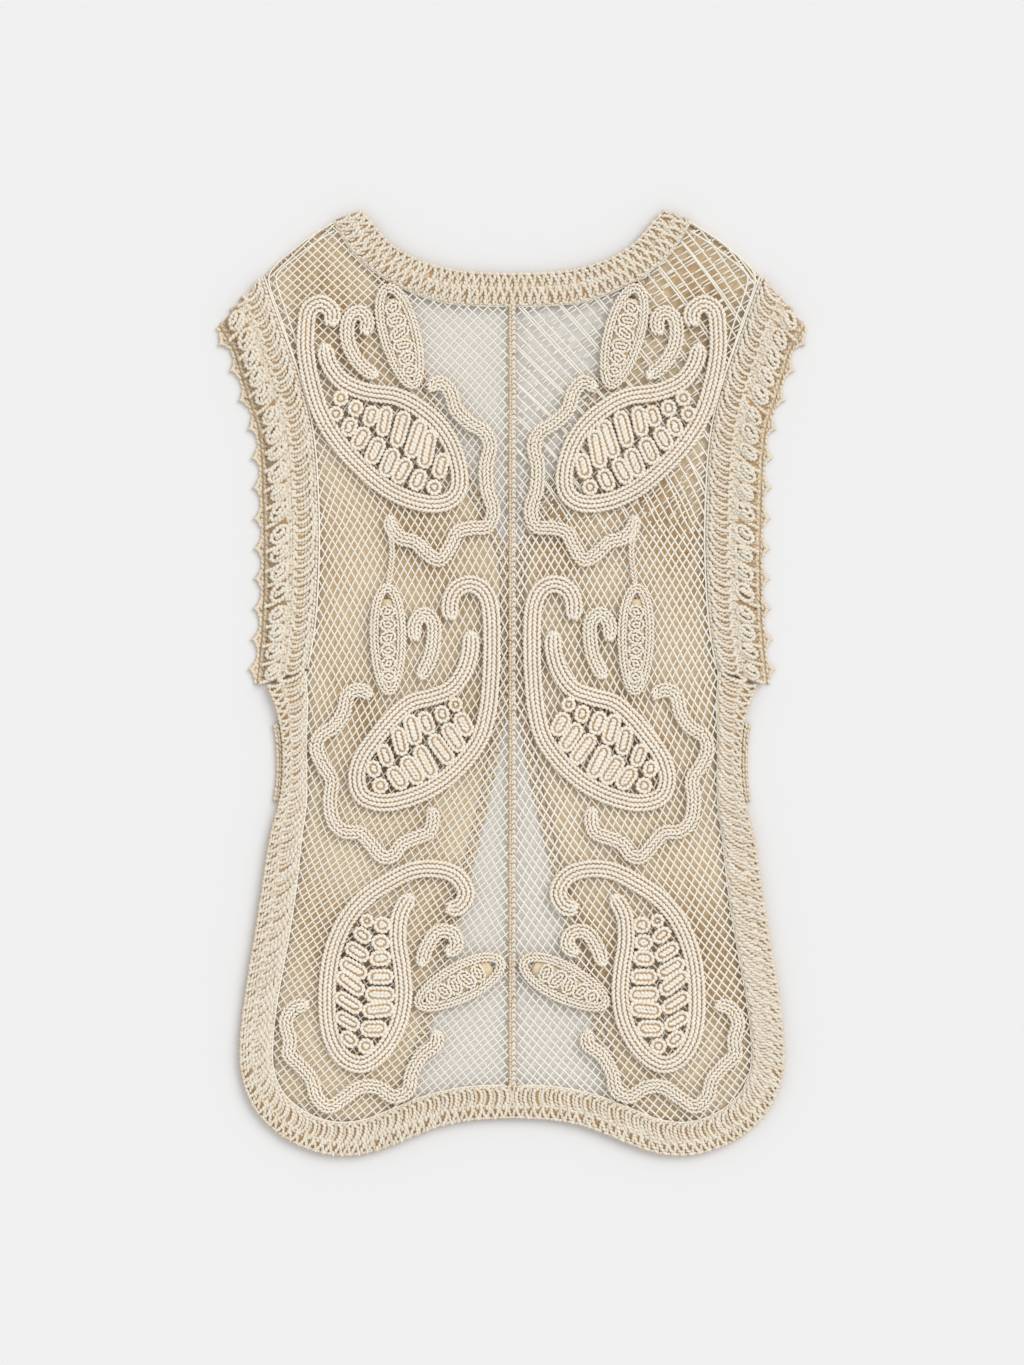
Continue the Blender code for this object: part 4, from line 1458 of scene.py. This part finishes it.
@dataclass
class VestBands:
    """All the bands, borders and seams."""

    kit: LoopKit

    def flip(self, line: np.ndarray, half: Half) -> np.ndarray:
        """Mirrors a right-half line for one half."""
        return line * np.array([half.value, 1.0])

    def neck(self) -> bpy.types.Object:
        """Makes the neck band in two rounds.

        Returns:
            The piece.
        """
        upper, lower = neck_edges()
        upper = np.vstack([self.flip(upper, Half.LEFT)[::-1], upper[1:]])
        lower = np.vstack([self.flip(lower, Half.LEFT)[::-1], lower[1:]])
        rows = [
            BandRow(0.0, 0.10, Stitch.RIDGE, 6.8, 0.86), BandRow(0.07, 0.51, Stitch.FORK, 7.1),
            BandRow(0.50, 0.94, Stitch.FORK, 7.1), BandRow(0.93, 1.07, Stitch.RIDGE, 7.2, 0.95, -0.6),
        ]
        return CrochetBand("neck_band", upper, lower, rows, BAND_YARN, seed=31).build(self.kit)

    def armhole_back(self, half: Half) -> bpy.types.Object:
        """Makes the back's armhole band: clusters outside, a zigzag, fans and an edge chain inside.

        Args:
            half: The half that it is on.

        Returns:
            The piece.
        """
        outer, inner = armhole_edges()
        rows = [
            BandRow(0.05, 0.43, Stitch.POPCORN, 17.0), BandRow(0.41, 0.57, Stitch.ZIGZAG, 7.6, 0.95),
            BandRow(0.53, 0.93, Stitch.ARC, 7.6), BandRow(0.925, 1.025, Stitch.RIDGE, 7.2, 1.0, -0.6),
        ]
        return CrochetBand(f"arm_band_back_{half.tag}", self.flip(outer, half), self.flip(inner, half), rows,
                           BAND_YARN, seed=41).build(self.kit)

    def border_back(self, half: Half) -> bpy.types.Object:
        """Makes the back's side, vent and hem border in two rows.

        Args:
            half: The half that it is on.

        Returns:
            The piece.
        """
        outer, inner = border_edges()
        rows = [
            # The outer ridge's stand of 0.8 paints shade along the band's outer edge.
            BandRow(0.0, 0.12, Stitch.RIDGE, 7.2, 0.8), BandRow(0.08, 0.44, Stitch.FORK, 7.4, 0.97),
            BandRow(0.42, 0.94, Stitch.POST, 7.4), BandRow(0.935, 1.055, Stitch.RIDGE, 7.2, 1.0, -0.6),
        ]
        return CrochetBand(f"border_back_{half.tag}", self.flip(outer, half), self.flip(inner, half), rows,
                           BAND_YARN, seed=51).build(self.kit)

    def armhole_front(self, half: Half) -> bpy.types.Object:
        """Makes the front's armhole band: ridges along it and picots on its edge, in the under band's yarn painted in
        shade.

        Args:
            half: The half that it is on.

        Returns:
            The piece.
        """
        outer, inner = armhole_edges()
        edge = outer + normals(outer) * PICOT_REACH
        # The rows nearer the back's band have less stand: painted shade under it.
        rows = [
            BandRow(0.0, 0.07, Stitch.RIDGE, 8.8), BandRow(0.08, 0.15, Stitch.RIDGE, 8.8, 0.92),
            BandRow(0.15, 0.36, Stitch.POST, 7.0, 0.62), BandRow(0.36, 0.6, Stitch.ARC, 7.6, 0.55),
        ]
        band = CrochetBand(f"arm_band_front_{half.tag}", self.flip(edge, half), self.flip(inner, half), rows,
                           SHADE_YARN, on_floor, 3.4, seed=61)
        rng = np.random.default_rng(61)
        batch = LoopBatch(self.kit)
        for row in rows:
            band.work(batch, row, rng)
        picots = int(lengths(outer)[-1] // PICOT_PITCH)
        marks = (np.arange(picots) + 0.5) / picots
        at = self.flip(np.vstack([spread(edge, 400)[int(m * 399)] for m in marks]), half)
        away = np.vstack([normals(edge)[int(m * (len(edge) - 1))] for m in marks]) * np.array([half.value, 1.0])
        along = np.stack([away[:, 1], -away[:, 0]], axis=1)
        for shift, reach, long, turn in ((-2.6, 0.8, 6.4, 0.7), (2.6, 0.8, 6.4, -0.7), (0.0, 3.2, 5.2, 0.0),
                                         (-0.9, 1.8, 5.2, 0.35), (0.9, 1.8, 5.2, -0.35), (-5.6, -0.3, 5.4, 1.0),
                                         (5.6, -0.3, 5.4, -1.0)):
            batch.add(at + along * shift + away * reach, away, np.full(picots, 2.1), long, 3.0, 2.6, turn=-turn,
                      stand=0.95)
        count = 60
        a, b = spread(self.flip(edge, half), count), spread(self.flip(inner, half), count)
        # The ground's stand of 0.35 paints it in shade.
        ground = strip(a + (b - a) * 0.03, b, on_floor, 0.0, 1.5, 0.35, crown=0.5)
        points, faces, crest = join_arrays([batch.arrays(), ground])
        return take_over(f"crochet_arm_band_front_{half.tag}", points, faces, crest, SHADE_YARN,
                         [f"arm_band_front_{half.tag}"])

    def border_front(self, half: Half) -> bpy.types.Object:
        """Makes the front's border, in ridges.

        Args:
            half: The half that it is on.

        Returns:
            The piece.
        """
        outer, inner = border_edges()
        cut = int(np.argmax((inner[:, 0] < 112.0) & (inner[:, 1] < -330)))
        rows = [
            # Worked in the under band's yarn, painted in shade; the inner ridges have less stand, more painted shade.
            BandRow(0.0, 0.16, Stitch.RIDGE, 8.4), BandRow(0.16, 0.34, Stitch.RIDGE, 10.0, 0.85),
            BandRow(0.36, 0.66, Stitch.RIDGE, 12.8, 0.8), BandRow(0.68, 0.98, Stitch.RIDGE, 12.8, 0.8),
        ]
        return CrochetBand(f"border_front_{half.tag}", self.flip(outer[:cut], half), self.flip(inner[:cut], half),
                           rows, SHADE_YARN, on_floor, 3.3, seed=71).build(self.kit)

    def front_edge(self, half: Half) -> bpy.types.Object:
        """Makes the band along one front's opening, in two chains.

        Args:
            half: The half that it is on.

        Returns:
            The piece.
        """
        edge = opening_edge()
        away = edge + normals(edge) * EDGE_BAND
        # Worked in the under band's yarn, painted in shade.
        rows = [BandRow(0.0, 0.5, Stitch.CHAIN, 9.2, 0.85), BandRow(0.5, 1.0, Stitch.CHAIN, 9.2, 0.95)]
        return CrochetBand(f"front_edge_{half.tag}", self.flip(away, half), self.flip(edge, half), rows, SHADE_YARN,
                           on_floor, 2.5, seed=81).build(self.kit)

    def shoulder(self, half: Half) -> bpy.types.Object:
        """Makes the shoulder seam, a chain over both layers.

        Args:
            half: The half that it is on.

        Returns:
            The piece.
        """
        line = spread(smooth(SHOULDER, 4), 40, 0.02, 0.98)
        inner = line - normals(line) * SEAM_WIDE
        rows = [BandRow(0.0, 1.0, Stitch.RIDGE, 8.0, 0.95)]
        return CrochetBand(f"shoulder_seam_{half.tag}", self.flip(line, half), self.flip(inner, half), rows,
                           BAND_YARN, on_floor, 6.0, seed=91).build(self.kit)

    def side(self, half: Half) -> bpy.types.Object:
        """Makes the side seam, a thin chain outside the borders.

        Args:
            half: The half that it is on.

        Returns:
            The piece.
        """
        outer, _ = border_edges()
        part = outer[12:33]
        near = spread(part + normals(part) * SEAM, 30)
        far = spread(part + normals(part) * SIDE_WIDE, 30)
        rows = [BandRow(0.0, 0.55, Stitch.RIDGE, 8.4, 0.85), BandRow(0.5, 1.0, Stitch.RIDGE, 8.4, 0.95)]
        return CrochetBand(f"side_seam_{half.tag}", self.flip(far, half), self.flip(near, half), rows, BAND_YARN,
                           on_floor, 6.0, seed=95).build(self.kit)

    def centre(self) -> bpy.types.Object:
        """Makes the chain seam down the middle: a low line, painted tan as shade, beside a raised cream chain.

        Returns:
            The piece.
        """
        high, low = NECK[0][3] - SEAM, BORDER[-1][1] + BORDER[-1][2] + SEAM
        ys = np.linspace(high, low, 60)
        right = np.stack([np.full(60, CENTRE_HALF), ys], axis=1)
        left = np.stack([np.full(60, -CENTRE_HALF), ys], axis=1)
        # The ridge row's stand of 0.72 paints it tan as shade.
        rows = [BandRow(-0.12, 0.56, Stitch.CHAIN, 8.4, 1.05), BandRow(0.5, 1.1, Stitch.RIDGE, 5.2, 0.72)]
        return CrochetBand("centre_seam", right, left, rows, BAND_YARN, lie, 2.6, seed=99).build(self.kit)


@dataclass
class Studio:
    """The pale floor, soft light and the camera straight above."""

    floor_side: float = 6.0
    pixel: float = 0.85
    tall: int = 1365
    lens: float = 85.0
    sensor: float = 36.0
    floor_grey: int = 240
    ambient: float = 0.72
    key_turn: tuple[float, float] = (46.0, 132.0)
    key_strength: float = 1.28
    key_angle: float = 40.0

    def floor(self) -> None:
        """Makes the floor."""
        bpy.ops.object.select_all(action="DESELECT")
        bpy.ops.mesh.primitive_plane_add(size=self.floor_side, location=(0.0, 0.0, -0.0002))
        plane = bpy.context.object
        plane.name = "studio_floor"
        material = bpy.data.materials.new("studio_floor")
        material.use_nodes = True
        shader = material.node_tree.nodes["Principled BSDF"]
        shader.inputs["Base Color"].default_value = linear(*[self.floor_grey] * 3)
        shader.inputs["Roughness"].default_value = 0.9
        shader.inputs["Specular IOR Level"].default_value = 0.1
        plane.data.materials.append(material)

    def lamp(self, name: str, turn: tuple[float, float], strength: float, angle: float) -> None:
        """Adds a soft far lamp.

        Args:
            name: Its name.
            turn: Its tilt from straight down and its turn about the upright axis, in degrees.
            strength: Its strength.
            angle: How wide it looks from the vest, in degrees: wider gives softer shadows.
        """
        data = bpy.data.lights.new(name, "SUN")
        data.energy = strength
        data.angle = math.radians(angle)
        lamp = bpy.data.objects.new(name, data)
        lamp.rotation_euler = (math.radians(turn[0]), 0.0, math.radians(turn[1]))
        bpy.context.scene.collection.objects.link(lamp)

    def build(self) -> None:
        """Makes the floor, the lamps, the ambient light and the camera."""
        self.floor()
        scene = bpy.context.scene
        world = bpy.data.worlds.new("studio_world")
        world.use_nodes = True
        world.node_tree.nodes["Background"].inputs["Color"].default_value = (1.0, 1.0, 1.0, 1.0)
        world.node_tree.nodes["Background"].inputs["Strength"].default_value = self.ambient
        scene.world = world
        self.lamp("key", self.key_turn, self.key_strength, self.key_angle)
        scene.view_settings.view_transform = "Standard"
        data = bpy.data.cameras.new("above")
        data.lens = self.lens
        data.sensor_width = self.sensor
        camera = bpy.data.objects.new("above", data)
        distance = self.tall * self.pixel * MM * self.lens / self.sensor
        camera.location = (0.0, 0.0009, distance + 0.005)
        scene.collection.objects.link(camera)
        scene.camera = camera


MOTIFS = [
    Motif(
        "top",
        pod=[
            (154, 304.5), (153, 316.5), (162.5, 323.5), (172.5, 317.5), (175, 301.5), (175, 282.5), (171, 259),
            (162.5, 231.5), (149, 208), (129, 185.5), (105.5, 166), (80, 155), (57, 154.5), (45, 167), (47, 191.5),
            (58.5, 215.5), (78, 234), (98.5, 244.5), (124, 248.5), (143.5, 257), (155.5, 272.5), (159, 288.5),
        ],
        scroll=[
            (125, 297), (123, 309), (129, 316), (137.5, 311.5), (140, 299), (137, 284.5), (127.5, 270.5),
            (115, 261.5),
        ],
        scallop=[
            (71.5, 251), (61, 256.5), (52.5, 248.5), (47, 232.5), (35.5, 221.5), (24, 214.5), (18.5, 202.5),
            (22, 185.5), (21, 165.5), (16, 148.5), (20.5, 134.5), (34, 133), (46, 129.5), (52.5, 117.5), (61, 106),
            (72, 111), (82.5, 121), (95, 124.5), (103, 134.5), (103.5, 143),
        ],
        bud=(84.0, 255.5, 105.5, 335.5, 12.8),
        middle=(49.5, 163.5, 161.5, 247.0),
        lean=(0.4, -0.2),
        seed=110,
    ),
    Motif(
        "middle",
        pod=[
            (52, 55), (52.5, 70), (47, 81), (35.5, 85.5), (24, 79.5), (18, 63.5), (17, 33.5), (18, 4), (20.5, -21.5),
            (27, -45.5), (41.5, -66), (61, -83.5), (85, -95.5), (108, -100.5), (126, -95.5), (132, -81),
            (127.5, -62.5), (115, -44.5), (100.5, -27.5), (86, -15.5), (68, -10.5), (52, -4), (41, 10), (35.5, 27.5),
            (35, 44.5),
        ],
        scroll=[
            (82.5, 37), (82.5, 51.5), (75, 60), (67, 53), (66.5, 38), (69.5, 22.5), (78, 5.5),
        ],
        scallop=[
            (119, -10.5), (129, -4.5), (139.5, -9), (143, -23.5), (151.5, -36), (163, -44), (166, -55.5),
            (160.5, -68.5), (153, -81), (154.5, -98), (152, -115), (143, -124.5), (129, -126), (120, -135.5),
            (110.5, -146), (101, -145), (93.5, -135.5), (82.5, -130.5), (70.5, -125.5), (67, -113.5), (69.5, -105),
        ],
        bud=(104.5, -4.5, 106.0, 81.0, 11.0),
        middle=(127.5, -89.5, 22.0, -4.5),
        lean=(-0.12, 0.42),
        seed=130,
        stem=[(104.5, 141), (103.0, 128), (101.5, 112), (103.0, 97), (105.0, 84)],
    ),
    Motif(
        "bottom",
        pod=[
            (56, -190), (45, -188.5), (39, -177), (46, -163.5), (61, -157), (82.5, -157.5), (103.5, -167),
            (125, -181.5), (142, -202), (153, -230), (157, -264), (154.5, -295.5), (143.5, -316.5), (126.5, -322.5),
            (109, -310), (97, -289.5), (92, -265.5), (93.5, -241), (97, -217), (95, -195), (86, -179),
        ],
        scroll=[
            (56, -229), (47, -221.5), (51, -211), (63, -210.5), (72, -222.5), (77.5, -238.5),
        ],
        scallop=[
            (172.5, -271.5), (185.5, -275), (192, -287), (188.5, -302), (189.5, -314), (180, -323.5), (170, -335.5),
            (166, -350), (155.5, -358.5), (143, -351.5), (129, -342), (114, -342), (100.5, -350), (88.5, -344.5),
            (85, -329.5), (76.5, -315), (64.5, -305.5), (64.5, -293.5),
        ],
        bud=(78.0, -270.5, 11.0, -236.0, 12.8),
        middle=(132.0, -314.0, 115.0, -185.0),
        lean=(0.16, 0.5),
        seed=150,
    ),
]


def main() -> None:
    """Builds the vest's pieces in order and logs its cloth's areas."""
    logging.basicConfig(level=logging.INFO, format="%(name)s %(message)s")
    Studio().build()
    kit = LoopKit()
    bands = VestBands(kit)
    middle = {Half.RIGHT: bands.neck(), Half.LEFT: bands.centre()}
    for half in Half:
        front, front_area = FrontPanel(half).build()
        under = [bands.armhole_front(half), bands.border_front(half), bands.front_edge(half)]
        net, net_area = NetPanel(half, STRAND_WIDE[half]).build()
        upper = [middle[half], bands.armhole_back(half), bands.border_back(half), bands.shoulder(half),
                 bands.side(half)]
        for motif in MOTIFS:
            upper += motif.build(kit, half)
        LOG.info("%s half: net %.4f m2, front %.4f m2", half.tag, net_area, front_area)


if __name__ == "__main__":
    main()
